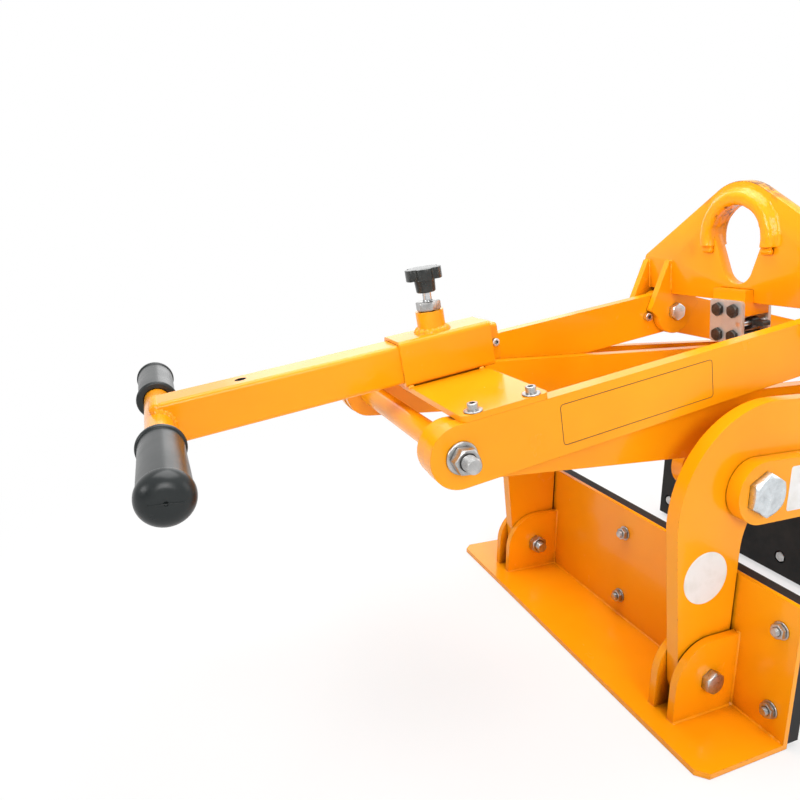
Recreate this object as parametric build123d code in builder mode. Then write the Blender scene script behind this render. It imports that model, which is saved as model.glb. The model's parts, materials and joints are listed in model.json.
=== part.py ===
from build123d import *
import os
from math import atan2, cos, degrees, hypot, sin

# Block lifter: a two-pivot scissor clamp in six layers of plate on each side of its middle plane.
# X runs across the grips, Y along them, Z is up. Near is -Y, left is -X. Sizes are in millimetres.

# Linkage pivots, measured from the middle and from the floor
pin_x = 640.0
pin_z = 418.5
tie_rise = 119.5
pivot_x = 217.0
pivot_z = 340.5
clevis_x = 266.5
clevis_z = 62.0

# Plate thickness and the layers that the plates run in
plate_t = 22.0
layer_gap = 1.5
inner_face = 131.0

# Running fits and seats
fit_gap = 0.05
seat_gap = 0.3

# Bolts: shank diameter, size across flats, head height, and nut height or the end that stands out
main_d = 33.0
main_flats = 50.0
main_head = 21.0
main_end = 2.0
pin_d = 20.0
pin_flats = 30.0
pin_head = 12.5
pin_nut = 16.0
pin_washer_d = 41.0
pin_washer_t = 4.0
clevis_d = 20.0
clevis_flats = 30.0
clevis_head = 12.5
clevis_nut = 16.0
thread_end = 11.0
cap_d = 10.0
cap_head_d = 16.0
cap_head_h = 10.0
cap_socket = 8.0
cap_socket_deep = 5.0
cap_washer_d = 21.0
cap_washer_t = 2.0
cap_reach = 18.0

# Bearing bushes
bush_wall = 3.0
bush_flange = 5.0
bush_flange_t = 1.2

# Link plates and the sleeves between them
link_h = 91.0
inner_link_h = 70.0
spacer_wall = 4.0

# Levers
lever_end_r = 38.5
leg_end_r = 45.0
shoulder_x = 363.0
shoulder_rise = 123.5
shoulder_r = 160.0
crotch_rise = 12.5
crotch_r = 110.0

# Tie bars, the head pin's play in the right-hand bars, and the stop screws' distance from the head pin
tie_h = 80.0
head_play = 4.5
ear_stop_at = 59.0

# Pin rods and spacer tubes
pin_tube_d = 34.0

# Cross beam and lock bar
beam_w = 60.0
beam_h = 50.0
beam_wall = 5.0
bar_w = 20.0
bar_t = 16.0
bar_clear = 10.0
bar_notch_rise = 2.0
bar_notch_h = 14.0
bar_notch_depth = 6.0
bar_tip = 5.0

# Handle carrier, placed along the tie bar from its pin
carrier_start = 8.0
carrier_l = 120.0
carrier_t = 8.0
carrier_edge = 20.0
carrier_corner = 10.0
sleeve_start = 3.0
sleeve_l = 140.0
sleeve_wall = 4.5
sleeve_round = 7.0
tube_size = 55.0
tube_wall = 3.0
tube_round = 6.0
tube_gap = 0.5
boss_d = 40.0
boss_h = 29.0
plunger_at = 66.0
plunger_d = 13.0
plunger_hole_play = 1.0
plunger_travel = 12.0
plunger_hex = 31.0
plunger_hex_h = 14.0
plunger_lift = 1.5
knob_gap = 12.0
knob_d = 51.0
knob_h = 15.5
knob_hub_d = 28.0
knob_hub_h = 18.0
knob_lobes = 5
knob_dent_r = 13.0
knob_round = 5.0

# Handle: square tube with a cross bar
tube_beyond = 12.0
bar_at = 312.0
bar_d = 34.0
bar_wall = 3.0
bar_half = 260.0
retract = 272.0
grip_l = 163.0
grip_cap = 15.0
grip_collar_d = 54.0
grip_collar_t = 9.0
grip_collar_slope = 4.5
grip_neck_d = 49.0
grip_bulb_d = 54.0
grip_bulb_l = 33.0
grip_end_round = 10.0
stop_d = 10.0
stop_h = 5.0
stop_shank_d = 6.0

# Lifting head, which leans on the left stop screws by so many degrees
head_lean = 6.6
lift_t = 20.0
lift_rise = 45.0
lift_h = 211.0
lift_shoulder_h = 64.4
belly_drop = 9.0
lift_round = 90.0
lift_corner = 12.0
eye_r = 54.0
eye_land = 55.4
eye_low_r = 20.0
eye_sill = 24.0
collar_w = 26.0
collar_t = 15.0
collar_leg = 15.0
collar_rim = 9.0
ear_t = 14.0
ear_slot_h = 56.0
ear_top_half = 14.0
ear_wide = 60.0
ear_wide_rise = 9.0
ear_end_r = 44.0
ear_corner_r = 6.0

# Automatic lock under the lifting plate
notch_half = 36.0
notch_h = 14.0
core_half_x = 28.0
core_drop = 30.0
cover_t = 6.0
cover_half = 36.0
cover_corner = 6.0
cover_drop = 4.0
cover_h = 76.0
lock_bolt_d = 10.0
lock_bolt_flats = 21.0
lock_bolt_head = 6.4
lock_bolt_y = 17.0
lock_bolt_high_edge = 17.0
lock_bolt_low_edge = 14.0
pawl_y = 27.0
pawl_drop = 44.0
pawl_r = 10.0
pawl_t = 16.0
pawl_pin_d = 10.0
pawl_clear = 3.5
pawl_tip_drop = 15.0
pawl_tip_r = 3.0
pawl_tail_l = 31.0
pawl_tail_h = 9.0
pawl_tail_round = 3.0

# Grips
grip_len = 704.0
grip_t = 8.0
grip_top = 210.5
leg_clear = 4.0
flange_w = 144.5
flange_corner = 14.0
clevis_ear_t = 12.0
clevis_foot = 111.0
clevis_top = 124.0
clevis_shoulder_r = 65.0
pad_t = 20.0
pad_low = 8.0
pad_bolt_d = 12.0
pad_bolt_flats = 19.0
pad_nut_h = 10.0
pad_bolt_end = 5.0
pad_head_h = 8.0
pad_head_d = 26.0
pad_bolt_edge = 27.0
pad_bolt_low = 45.0
pad_bolt_drop = 44.5

# Angles and lengths that follow from the pivots
near = -1
far = 1
left = -1
right = 1
sides = {near: "near", far: "far"}
hands = {left: "left", right: "right"}
head_z = pin_z + tie_rise
tie_l = hypot(pin_x, tie_rise)
tie_angle = atan2(tie_rise, pin_x)
pitch = plate_t + layer_gap
inner_link = inner_face
right_lever = inner_face + pitch
left_tie = inner_face + 2 * pitch
right_tie = inner_face + 3 * pitch
left_lever = inner_face + 4 * pitch
outer_link = inner_face + 5 * pitch
lever_layer = {left: left_lever, right: right_lever}
tie_layer = {left: left_tie, right: right_tie}
leg_inner = clevis_x - leg_end_r
grip_face = leg_inner - leg_clear
pad_bolt_y = grip_len / 2 - pad_bolt_edge
pad_bolt_high = grip_top - pad_bolt_drop
spacer_r = main_d / 2 + spacer_wall
inner_ear = left_tie - layer_gap - ear_t
outer_ear = right_tie + pitch
lift_half = outer_ear + ear_t
lift_bottom = head_z + lift_rise
lift_apex = lift_bottom + lift_h
belly_low = lift_bottom - belly_drop
ear_top = lift_bottom + ear_slot_h
ear_wide_z = head_z + ear_wide_rise
eye_z = lift_apex - eye_land - eye_r
eye_low_z = lift_bottom + eye_sill + eye_low_r
notch_top = lift_bottom + notch_h
core_bottom = lift_bottom - core_drop
cover_high = lift_bottom - cover_drop
cover_low = cover_high - cover_h
lock_bolt_high = cover_high - lock_bolt_high_edge
lock_bolt_low = cover_low + lock_bolt_low_edge
pawl_z = lift_bottom - pawl_drop
pawl_tip_y = bar_w / 2 + pawl_clear
pawl_tip_z = pawl_z - pawl_tip_drop
bar_top = core_bottom - bar_clear
bar_notch_z = pawl_tip_z + bar_notch_rise
sleeve_bore = tube_size + 2 * tube_gap
sleeve_size = sleeve_bore + 2 * sleeve_wall
sleeve_w = tie_h / 2 + carrier_t + sleeve_size / 2
sleeve_end = sleeve_start + sleeve_l
tube_end = sleeve_end + tube_beyond
grip_start = bar_half + grip_cap - grip_l
grip_bulb_at = grip_l - grip_bulb_l
boss_foot = sleeve_w + sleeve_size / 2
plunger_top = boss_foot + boss_h + plunger_hex_h
knob_foot = plunger_top + knob_gap
tube_hole_d = plunger_d + 2 * plunger_hole_play

os.makedirs("parts", exist_ok=True)


def keep(piece, label):
    piece.label = label
    export_step(piece, f"parts/{label}.step")


# Planes


def side_plane(side, distance):
    # A plane across the lifter, facing out of it, on the near or the far side
    return Plane((0, side * distance, 0), x_dir=(-side, 0, 0), z_dir=(0, side, 0))


def tie_plane(hand):
    # The middle plane, with its x axis along the tie bar from the lever pin towards the head
    along = (-hand * cos(tie_angle), 0, sin(tie_angle))
    return Plane((hand * pin_x, 0, pin_z), x_dir=along, z_dir=(0, hand, 0))


def tie_point(hand, along, above, across=0):
    return tie_plane(hand).from_local_coords((along, above, hand * across))


def tie_section(hand, along, above):
    # A plane square to the tie bar, with its x axis along Y
    flat = tie_plane(hand)
    return Plane(tie_point(hand, along, above), x_dir=(0, 1, 0), z_dir=flat.x_dir)


def tie_top(hand, along, above, across=0):
    # A plane parallel to the tie bar's top edge, facing away from it
    flat = tie_plane(hand)
    return Plane(tie_point(hand, along, above, across), x_dir=flat.x_dir, z_dir=flat.y_dir)


def on_side(side, x, z):
    # Local coordinates of a point on a side plane
    return (-side * x, z)


# Fasteners, built into the part that is open where they are called


def rod(plane, diameter, length):
    with BuildSketch(plane) as section:
        Circle(diameter / 2)
    extrude(section.sketch, amount=length)


def hexagon(plane, flats, height, bore=0):
    with BuildSketch(plane) as section:
        RegularPolygon(flats / 2, 6, major_radius=False)
        if bore:
            Circle(bore / 2, mode=Mode.SUBTRACT)
    extrude(section.sketch, amount=height)


def ring(plane, outer, inner, height):
    with BuildSketch(plane) as section:
        Circle(outer / 2)
        Circle(inner / 2, mode=Mode.SUBTRACT)
    extrude(section.sketch, amount=height)


def cross_plane(side, distance, x, z):
    # A plane facing out on the near or far side, with its origin on a pivot
    return Plane((x, side * distance, z), x_dir=(-side, 0, 0), z_dir=(0, side, 0))


# Link plates

for face, name, height in ((inner_link, "inner_link", inner_link_h), (outer_link, "outer_link", link_h)):
    for side, side_name in sides.items():
        with BuildPart() as link:
            with BuildSketch(side_plane(side, face)):
                with Locations(on_side(side, 0, pivot_z)):
                    SlotCenterToCenter(2 * pivot_x, height)
                with Locations([on_side(side, hand * pivot_x, pivot_z) for hand in hands]):
                    Circle(main_d / 2 + fit_gap, mode=Mode.SUBTRACT)
            extrude(amount=plate_t)
        keep(link.part, f"{name}_{side_name}")

# Main pivot bolts, screwed into the inner links, and the sleeves that fill the free layers

with BuildPart() as pivot_bolts:
    for side in sides:
        for hand in hands:
            head_face = outer_link + plate_t
            hexagon(cross_plane(side, head_face, hand * pivot_x, pivot_z), main_flats, main_head)
            foot = inner_face - main_end
            rod(cross_plane(side, foot, hand * pivot_x, pivot_z), main_d, head_face - foot)
keep(pivot_bolts.part, "pivot_bolts")

lever_room = bush_flange_t + seat_gap
spacer_span = {
    left: (inner_face + plate_t, left_lever - seat_gap),
    right: (right_lever + plate_t + lever_room, outer_link),
}
with BuildPart() as pivot_spacers:
    for side in sides:
        for hand, (foot, top) in spacer_span.items():
            sleeve_plane = cross_plane(side, foot, hand * pivot_x, pivot_z)
            ring(sleeve_plane, 2 * spacer_r, main_d + 2 * fit_gap, top - foot)
keep(pivot_spacers.part, "pivot_spacers")

# Cross beam between the inner links, and the lock bar that stands on it

with BuildPart() as cross_beam:
    with BuildSketch(Plane((0, inner_face, pivot_z), x_dir=(1, 0, 0), z_dir=(0, -1, 0))):
        RectangleRounded(beam_w, beam_h, beam_wall)
        Rectangle(beam_w - 2 * beam_wall, beam_h - 2 * beam_wall, mode=Mode.SUBTRACT)
    extrude(amount=2 * inner_face)
keep(cross_beam.part, "cross_beam")

beam_top = pivot_z + beam_h / 2
with BuildPart() as lock_bar:
    with BuildSketch(Plane.YZ.offset(-bar_t / 2)):
        with BuildLine():
            Polyline(
                (-bar_w / 2, beam_top),
                (bar_w / 2, beam_top),
                (bar_w / 2, bar_top - bar_tip),
                (bar_w / 2 - bar_tip, bar_top),
                (bar_tip - bar_w / 2, bar_top),
                (-bar_w / 2, bar_top - bar_tip),
                close=True,
            )
        make_face()
        with Locations((-bar_w / 2, bar_notch_z)):
            Rectangle(2 * bar_notch_depth, bar_notch_h, mode=Mode.SUBTRACT)
    extrude(amount=bar_t)
keep(lock_bar.part, "lock_bar")

# Levers: arm, bend and leg in one plate, drawn for the left leg and turned over for the right one

bush_bore = {
    "pivot": main_d + 2 * fit_gap,
    "pin": pin_d + 2 * fit_gap,
    "clevis": clevis_d + 2 * fit_gap,
}


def lever_points(hand):
    # Places of the three bores of the lever whose leg is on this hand
    return {
        "pivot": (hand * pivot_x, pivot_z),
        "pin": (-hand * pin_x, pin_z),
        "clevis": (hand * clevis_x, clevis_z),
    }


shoulder = (shoulder_x, pivot_z + shoulder_rise)
crotch = (leg_inner, pivot_z + crotch_rise)
arm_low = atan2(pin_z - lever_end_r - crotch[1], pin_x + crotch[0])
arm_high = atan2(pin_z + lever_end_r - shoulder[1], pin_x + shoulder[0])
lever_outline = (
    (-pin_x + lever_end_r * sin(arm_high), pin_z + lever_end_r * cos(arm_high)),
    shoulder,
    (clevis_x + leg_end_r, clevis_z),
    (leg_inner, clevis_z),
    crotch,
    (-pin_x - lever_end_r * sin(arm_low), pin_z - lever_end_r * cos(arm_low)),
)
lever_radii = (0, shoulder_r, 0, 0, crotch_r, 0)

for hand, hand_name in hands.items():
    for side, side_name in sides.items():
        with BuildPart() as lever:
            with BuildSketch(side_plane(side, lever_layer[hand])):
                with BuildLine():
                    outline = [on_side(side, hand * x, z) for x, z in lever_outline]
                    FilletPolyline(*outline, radius=lever_radii, close=True)
                make_face()
                bores = lever_points(hand)
                with Locations(on_side(side, *bores["pin"])):
                    Circle(lever_end_r)
                with Locations(on_side(side, *bores["clevis"])):
                    Circle(leg_end_r)
                for name, (x, z) in bores.items():
                    with Locations(on_side(side, x, z)):
                        Circle(bush_bore[name] / 2 + bush_wall, mode=Mode.SUBTRACT)
            extrude(amount=plate_t)
        keep(lever.part, f"lever_{hand_name}_{side_name}")

    with BuildPart() as bushes:
        for side in sides:
            for name, (x, z) in lever_points(hand).items():
                bore = bush_bore[name]
                face = lever_layer[hand]
                ring(cross_plane(side, face, x, z), bore + 2 * bush_wall, bore, plate_t)
                flange_d = bore + 2 * bush_wall + 2 * bush_flange
                ring(cross_plane(side, face + plate_t, x, z), flange_d, bore, bush_flange_t)
    keep(bushes.part, f"lever_{hand_name}_bushes")

# Tie bars, with a running bore for the head pin on the left and play for it on the right

head_bore = {left: pin_d + 2 * fit_gap, right: pin_d + 2 * head_play}
ear_stop = {hand: tie_point(hand, tie_l - ear_stop_at, 0) for hand in hands}
screw_along = (carrier_start + carrier_edge, carrier_start + carrier_l - carrier_edge)
for hand, hand_name in hands.items():
    for side, side_name in sides.items():
        with BuildPart() as tie:
            with BuildSketch(side_plane(side, tie_layer[hand])):
                with Locations(on_side(side, hand * pin_x / 2, (pin_z + head_z) / 2)):
                    SlotCenterToCenter(tie_l, tie_h, rotation=side * hand * degrees(tie_angle))
                with Locations(on_side(side, hand * pin_x, pin_z)):
                    Circle(pin_d / 2 + fit_gap, mode=Mode.SUBTRACT)
                with Locations(on_side(side, 0, head_z)):
                    Circle(head_bore[hand] / 2, mode=Mode.SUBTRACT)
                with Locations(on_side(side, ear_stop[hand].X, ear_stop[hand].Z)):
                    Circle(cap_d / 2, mode=Mode.SUBTRACT)
            extrude(amount=plate_t)
            for along in screw_along:
                across = side * (tie_layer[hand] + plate_t / 2)
                with BuildSketch(tie_top(hand, along, tie_h / 2, across)):
                    Circle(cap_d / 2)
                extrude(amount=-cap_reach, mode=Mode.SUBTRACT)
        keep(tie.part, f"tie_{hand_name}_{side_name}")

# Pin rods through the tie bars and levers, with spacer tubes, washers and nuts

pin_outer = {left: left_tie + plate_t, right: left_lever + plate_t + bush_flange_t + seat_gap}
pin_inner = {left: right_lever - seat_gap, right: right_tie}
for hand, hand_name in hands.items():
    nut_face = pin_outer[hand] + pin_washer_t
    rod_half = nut_face + pin_nut + thread_end
    with BuildPart() as pin_rod:
        rod(cross_plane(far, -rod_half, hand * pin_x, pin_z), pin_d, 2 * rod_half)
    keep(pin_rod.part, f"pin_rod_{hand_name}")

    with BuildPart() as pin_spacer:
        span = pin_inner[hand]
        ring(cross_plane(far, -span, hand * pin_x, pin_z), pin_tube_d, pin_d + 2 * fit_gap, 2 * span)
    keep(pin_spacer.part, f"pin_spacer_{hand_name}")

    with BuildPart() as pin_nuts:
        for side in sides:
            washer_plane = cross_plane(side, pin_outer[hand], hand * pin_x, pin_z)
            ring(washer_plane, pin_washer_d, pin_d + 2 * fit_gap, pin_washer_t)
            nut_plane = cross_plane(side, nut_face, hand * pin_x, pin_z)
            hexagon(nut_plane, pin_flats, pin_nut, pin_d + 2 * fit_gap)
    keep(pin_nuts.part, f"pin_nuts_{hand_name}")

# Stop screws beside the head pin: they meet the ears when the lifter is wide open

stop_face = {left: (left_tie, -1), right: (right_tie + plate_t, 1)}
for hand, hand_name in hands.items():
    with BuildPart() as stop_screws:
        face, way = stop_face[hand]
        for side in sides:
            outward = side * way
            seat = Plane(
                (ear_stop[hand].X, side * face, ear_stop[hand].Z),
                x_dir=(-outward, 0, 0),
                z_dir=(0, outward, 0),
            )
            rod(seat, cap_head_d, cap_head_h)
            rod(seat, cap_d, -plate_t)
            with BuildSketch(seat.offset(cap_head_h)):
                RegularPolygon(cap_socket / 2, 6, major_radius=False)
            extrude(amount=-cap_socket_deep, mode=Mode.SUBTRACT)
    keep(stop_screws.part, f"stop_screws_{hand_name}")

# Handle carriers: base plate across both tie bars, with a welded square sleeve and boss

for hand, hand_name in hands.items():
    plate_half = tie_layer[hand] + plate_t
    screw_y = tie_layer[hand] + plate_t / 2
    with BuildPart() as carrier:
        with BuildSketch(tie_top(hand, carrier_start + carrier_l / 2, tie_h / 2)):
            RectangleRounded(carrier_l, 2 * plate_half, carrier_corner)
            with GridLocations(carrier_l - 2 * carrier_edge, 2 * screw_y, 2, 2):
                Circle(cap_d / 2, mode=Mode.SUBTRACT)
        extrude(amount=carrier_t)
        with BuildSketch(tie_section(hand, sleeve_start, sleeve_w)):
            RectangleRounded(sleeve_size, sleeve_size, sleeve_round)
            RectangleRounded(sleeve_bore, sleeve_bore, tube_round + tube_gap, mode=Mode.SUBTRACT)
        extrude(amount=sleeve_l)
        with BuildSketch(tie_top(hand, plunger_at, boss_foot - tube_gap)):
            Circle(boss_d / 2)
        extrude(amount=boss_h + tube_gap)
        with BuildSketch(tie_top(hand, plunger_at, sleeve_w)):
            Circle(plunger_d / 2 + fit_gap)
        extrude(amount=boss_foot + boss_h - sleeve_w, mode=Mode.SUBTRACT)
    keep(carrier.part, f"handle_carrier_{hand_name}")

    with BuildPart() as carrier_screws:
        for along in screw_along:
            for across in (-screw_y, screw_y):
                seat = tie_top(hand, along, tie_h / 2 + carrier_t, across)
                rod(seat, cap_washer_d, cap_washer_t)
                rod(seat, cap_d, -carrier_t - cap_reach)
                rod(seat.offset(cap_washer_t), cap_head_d, cap_head_h)
                with BuildSketch(seat.offset(cap_washer_t + cap_head_h)):
                    RegularPolygon(cap_socket / 2, 6, major_radius=False)
                extrude(amount=-cap_socket_deep, mode=Mode.SUBTRACT)
    keep(carrier_screws.part, f"carrier_screws_{hand_name}")

    # Index plunger: the body is screwed into the boss, and the pin and knob slide in it
    with BuildPart() as plunger_body:
        hexagon(
            tie_top(hand, plunger_at, boss_foot + boss_h),
            plunger_hex,
            plunger_hex_h,
            plunger_d + 2 * fit_gap,
        )
    keep(plunger_body.part, f"plunger_body_{hand_name}")

    tube_top = sleeve_w + tube_size / 2
    with BuildPart() as plunger_pin:
        foot = tube_top + plunger_lift
        rod(tie_top(hand, plunger_at, foot), plunger_d, knob_foot - foot)
    keep(plunger_pin.part, f"plunger_pin_{hand_name}")

    with BuildPart() as knob:
        rod(tie_top(hand, plunger_at, knob_foot), knob_hub_d, knob_hub_h)
        with BuildSketch(tie_top(hand, plunger_at, knob_foot + knob_hub_h)):
            Circle(knob_d / 2)
            with PolarLocations(knob_d / 2 + knob_dent_r / 2, knob_lobes):
                Circle(knob_dent_r, mode=Mode.SUBTRACT)
        extrude(amount=knob_h)
        knob_top = knob.faces().sort_by(Axis(tie_point(hand, 0, 0), tie_plane(hand).y_dir))[-1]
        fillet(knob_top.edges(), knob_round)
    keep(knob.part, f"plunger_knob_{hand_name}")

# Handles: square tube welded to a round cross bar, with index holes for the plunger

for hand, hand_name in hands.items():
    stop_point = tie_point(hand, sleeve_end + stop_d / 2, sleeve_w, -tube_size / 2)
    stop_seat = Plane(stop_point, x_dir=tie_plane(hand).x_dir, z_dir=(0, -1, 0))
    with BuildPart() as handle:
        with BuildSketch(tie_section(hand, -bar_at, sleeve_w)):
            RectangleRounded(tube_size, tube_size, tube_round)
            inside = tube_size - 2 * tube_wall
            RectangleRounded(inside, inside, tube_round - tube_wall, mode=Mode.SUBTRACT)
        extrude(amount=bar_at + tube_end)
        with BuildSketch(tie_plane(hand).offset(-bar_half)):
            with Locations((-bar_at, sleeve_w)):
                Circle(bar_d / 2)
        extrude(amount=2 * bar_half)
        with BuildSketch(tie_plane(hand).offset(-bar_half)):
            with Locations((-bar_at, sleeve_w)):
                Circle(bar_d / 2 - bar_wall)
        extrude(amount=2 * bar_half, mode=Mode.SUBTRACT)
        for along in (plunger_at, plunger_at - retract):
            with BuildSketch(tie_top(hand, along, sleeve_w)):
                Circle(tube_hole_d / 2)
            extrude(amount=tube_size, mode=Mode.SUBTRACT)
        with BuildSketch(stop_seat):
            Circle(stop_shank_d / 2)
        extrude(amount=-2 * tube_wall, mode=Mode.SUBTRACT)
    keep(handle.part, f"handle_tube_{hand_name}")

    # Rubber grips: a collar, a waisted body and a closed bulb end
    with BuildPart() as grips:
        for way in (-1, 1):
            seat = Plane(
                tie_point(hand, -bar_at, sleeve_w, way * grip_start),
                x_dir=tie_plane(hand).x_dir,
                z_dir=(0, way, 0),
            )
            section = Plane(seat.origin, x_dir=seat.x_dir, z_dir=seat.y_dir)
            with BuildSketch(section):
                with BuildLine():
                    bore_end = bar_half - grip_start
                    neck_start = grip_collar_t + grip_collar_slope
                    Polyline(
                        (bar_d / 2, 0),
                        (grip_collar_d / 2, 0),
                        (grip_collar_d / 2, -grip_collar_t),
                        (grip_neck_d / 2, -neck_start),
                    )
                    Spline(
                        (grip_neck_d / 2, -neck_start),
                        (grip_bulb_d / 2, -grip_bulb_at),
                        tangents=((0, -1), (0, -1)),
                    )
                    Polyline(
                        (grip_bulb_d / 2, -grip_bulb_at),
                        (grip_bulb_d / 2, grip_end_round - grip_l),
                        (grip_bulb_d / 2 - grip_end_round, -grip_l),
                        (0, -grip_l),
                        (0, -bore_end),
                        (bar_d / 2, -bore_end),
                        (bar_d / 2, 0),
                    )
                make_face()
            revolve(axis=Axis(seat.origin, seat.z_dir))
    keep(grips.part, f"handle_grips_{hand_name}")

    with BuildPart() as handle_stop:
        rod(stop_seat, stop_d, stop_h)
        rod(stop_seat, stop_shank_d, -2 * tube_wall)
    keep(handle_stop.part, f"handle_stop_{hand_name}")

# The head is drawn upright and then leaned to the left about its pin


def keep_leaned(piece, label):
    keep(piece.rotate(Axis((0, 0, head_z), (0, 1, 0)), -head_lean), label)


# Lifting plate with its eye, deeper between the ears, slotted for them and notched for the lock

with BuildPart() as lifting_plate:
    with BuildSketch(Plane.YZ.offset(-lift_t / 2)):
        with BuildLine():
            shoulder_z = lift_bottom + lift_shoulder_h
            FilletPolyline(
                (0, lift_apex),
                (lift_half, shoulder_z),
                (lift_half, lift_bottom),
                (-lift_half, lift_bottom),
                (-lift_half, shoulder_z),
                radius=(lift_round, lift_corner, 0, 0, lift_corner),
                close=True,
            )
        make_face()
        with Locations((0, (belly_low + lift_bottom) / 2)):
            Rectangle(2 * inner_ear, belly_drop)
        with BuildSketch(mode=Mode.SUBTRACT):
            with Locations((0, eye_z)):
                Circle(eye_r)
            with Locations((0, eye_low_z)):
                Circle(eye_low_r)
            make_hull()
        for ear in (inner_ear, outer_ear):
            for side in sides:
                with Locations((side * (ear + ear_t / 2), (lift_bottom + ear_top) / 2)):
                    Rectangle(ear_t, ear_top - lift_bottom, mode=Mode.SUBTRACT)
        with Locations((0, (belly_low + notch_top) / 2)):
            Rectangle(2 * notch_half, notch_top - belly_low, mode=Mode.SUBTRACT)
    extrude(amount=lift_t)
keep_leaned(lifting_plate.part, "lifting_plate")

with BuildPart() as eye_collars:
    # Half ring over the eye with straight legs, rounded on its outer face
    for way in (-1, 1):
        for arm in (-1, 1):
            with BuildSketch(Plane.XY.offset(eye_z)) as profile:
                with BuildLine():
                    FilletPolyline(
                        (way * lift_t / 2, arm * eye_r),
                        (way * (lift_t / 2 + collar_t), arm * eye_r),
                        (way * (lift_t / 2 + collar_t), arm * (eye_r + collar_w)),
                        (way * lift_t / 2, arm * (eye_r + collar_w)),
                        radius=(0, collar_rim, collar_rim, 0),
                        close=True,
                    )
                make_face()
            extrude(profile.sketch, amount=-collar_leg, dir=(0, 0, 1))
        revolve(profile.sketch, axis=Axis((0, 0, eye_z), (1, 0, 0)), revolution_arc=180)
keep_leaned(eye_collars.part, "eye_collars")

# Gusset ears that carry the head pins

with BuildPart() as head_ears:
    for ear in (inner_ear, outer_ear):
        for side in sides:
            with BuildSketch(side_plane(side, ear)):
                with BuildLine():
                    ear_outline = (
                        (-ear_top_half, ear_top),
                        (ear_top_half, ear_top),
                        (ear_wide, ear_wide_z),
                        (0, head_z - ear_end_r),
                        (-ear_wide, ear_wide_z),
                    )
                    ear_radii = (0, 0, ear_corner_r, 0, ear_corner_r)
                    FilletPolyline(*ear_outline, radius=ear_radii, close=True)
                make_face()
                with Locations((0, head_z)):
                    Circle(ear_end_r)
                    Circle(pin_d / 2, mode=Mode.SUBTRACT)
            extrude(amount=ear_t)
keep_leaned(head_ears.part, "head_ears")

with BuildPart() as head_bolts:
    for side in sides:
        bolt_end = outer_ear + ear_t + pin_nut + thread_end
        hexagon(cross_plane(side, inner_ear - pin_head, 0, head_z), pin_flats, pin_head)
        rod(cross_plane(side, inner_ear, 0, head_z), pin_d, bolt_end - inner_ear)
        nut_plane = cross_plane(side, outer_ear + ear_t, 0, head_z)
        hexagon(nut_plane, pin_flats, pin_nut, pin_d + 2 * fit_gap)
keep_leaned(head_bolts.part, "head_bolts")

# Automatic lock: core block in the notch, cover plates, bolts, pawl and its pin

with BuildPart() as lock_core:
    with BuildSketch(Plane.YZ.offset(-core_half_x)):
        with Locations((0, (core_bottom + notch_top) / 2)):
            Rectangle(2 * notch_half, notch_top - core_bottom)
        with Locations([(y, lock_bolt_high) for y in (-lock_bolt_y, lock_bolt_y)]):
            Circle(lock_bolt_d / 2, mode=Mode.SUBTRACT)
    extrude(amount=2 * core_half_x)
keep_leaned(lock_core.part, "lock_core")

lock_bolt_places = [(y, z) for y in (-lock_bolt_y, lock_bolt_y) for z in (lock_bolt_low, lock_bolt_high)]
with BuildPart() as lock_covers:
    for face in (-core_half_x - cover_t, core_half_x):
        with BuildSketch(Plane.YZ.offset(face)):
            with Locations((0, (cover_low + cover_high) / 2)):
                RectangleRounded(2 * cover_half, cover_high - cover_low, cover_corner)
            with Locations(lock_bolt_places):
                Circle(lock_bolt_d / 2, mode=Mode.SUBTRACT)
            with Locations((-pawl_y, pawl_z)):
                Circle(pawl_pin_d / 2, mode=Mode.SUBTRACT)
        extrude(amount=cover_t)
keep_leaned(lock_covers.part, "lock_covers")

cover_face = core_half_x + cover_t
lock_back = Plane.YZ.offset(-cover_face)
with BuildPart() as lock_bolts:
    for y, z in lock_bolt_places:
        for way in (-1, 1):
            seat = Plane((way * cover_face, y, z), x_dir=(0, way, 0), z_dir=(way, 0, 0))
            hexagon(seat, lock_bolt_flats, lock_bolt_head)
        rod(lock_back.shift_origin((-cover_face, y, z)), lock_bolt_d, 2 * cover_face)
keep_leaned(lock_bolts.part, "lock_bolts")

with BuildPart() as pawl_pin:
    rod(lock_back.shift_origin((-cover_face, -pawl_y, pawl_z)), pawl_pin_d, 2 * cover_face)
keep_leaned(pawl_pin.part, "pawl_pin")

with BuildPart() as lock_pawl:
    with BuildSketch(Plane.YZ.offset(-pawl_t / 2)):
        with Locations((-pawl_y, pawl_z)):
            Circle(pawl_r)
        with Locations((-pawl_tip_y - pawl_tip_r, pawl_tip_z + pawl_tip_r)):
            Circle(pawl_tip_r)
        make_hull()
        with Locations((-pawl_y - pawl_tail_l / 2, pawl_z + pawl_r - pawl_tail_h)):
            RectangleRounded(pawl_tail_l, pawl_tail_h, pawl_tail_round)
        with Locations((-pawl_y, pawl_z)):
            Circle(pawl_pin_d / 2 + fit_gap, mode=Mode.SUBTRACT)
    extrude(amount=pawl_t)
keep_leaned(lock_pawl.part, "lock_pawl")

# Grips: L-shaped plate with welded clevis ears, clevis bolts, rubber pad and its bolts

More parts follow.
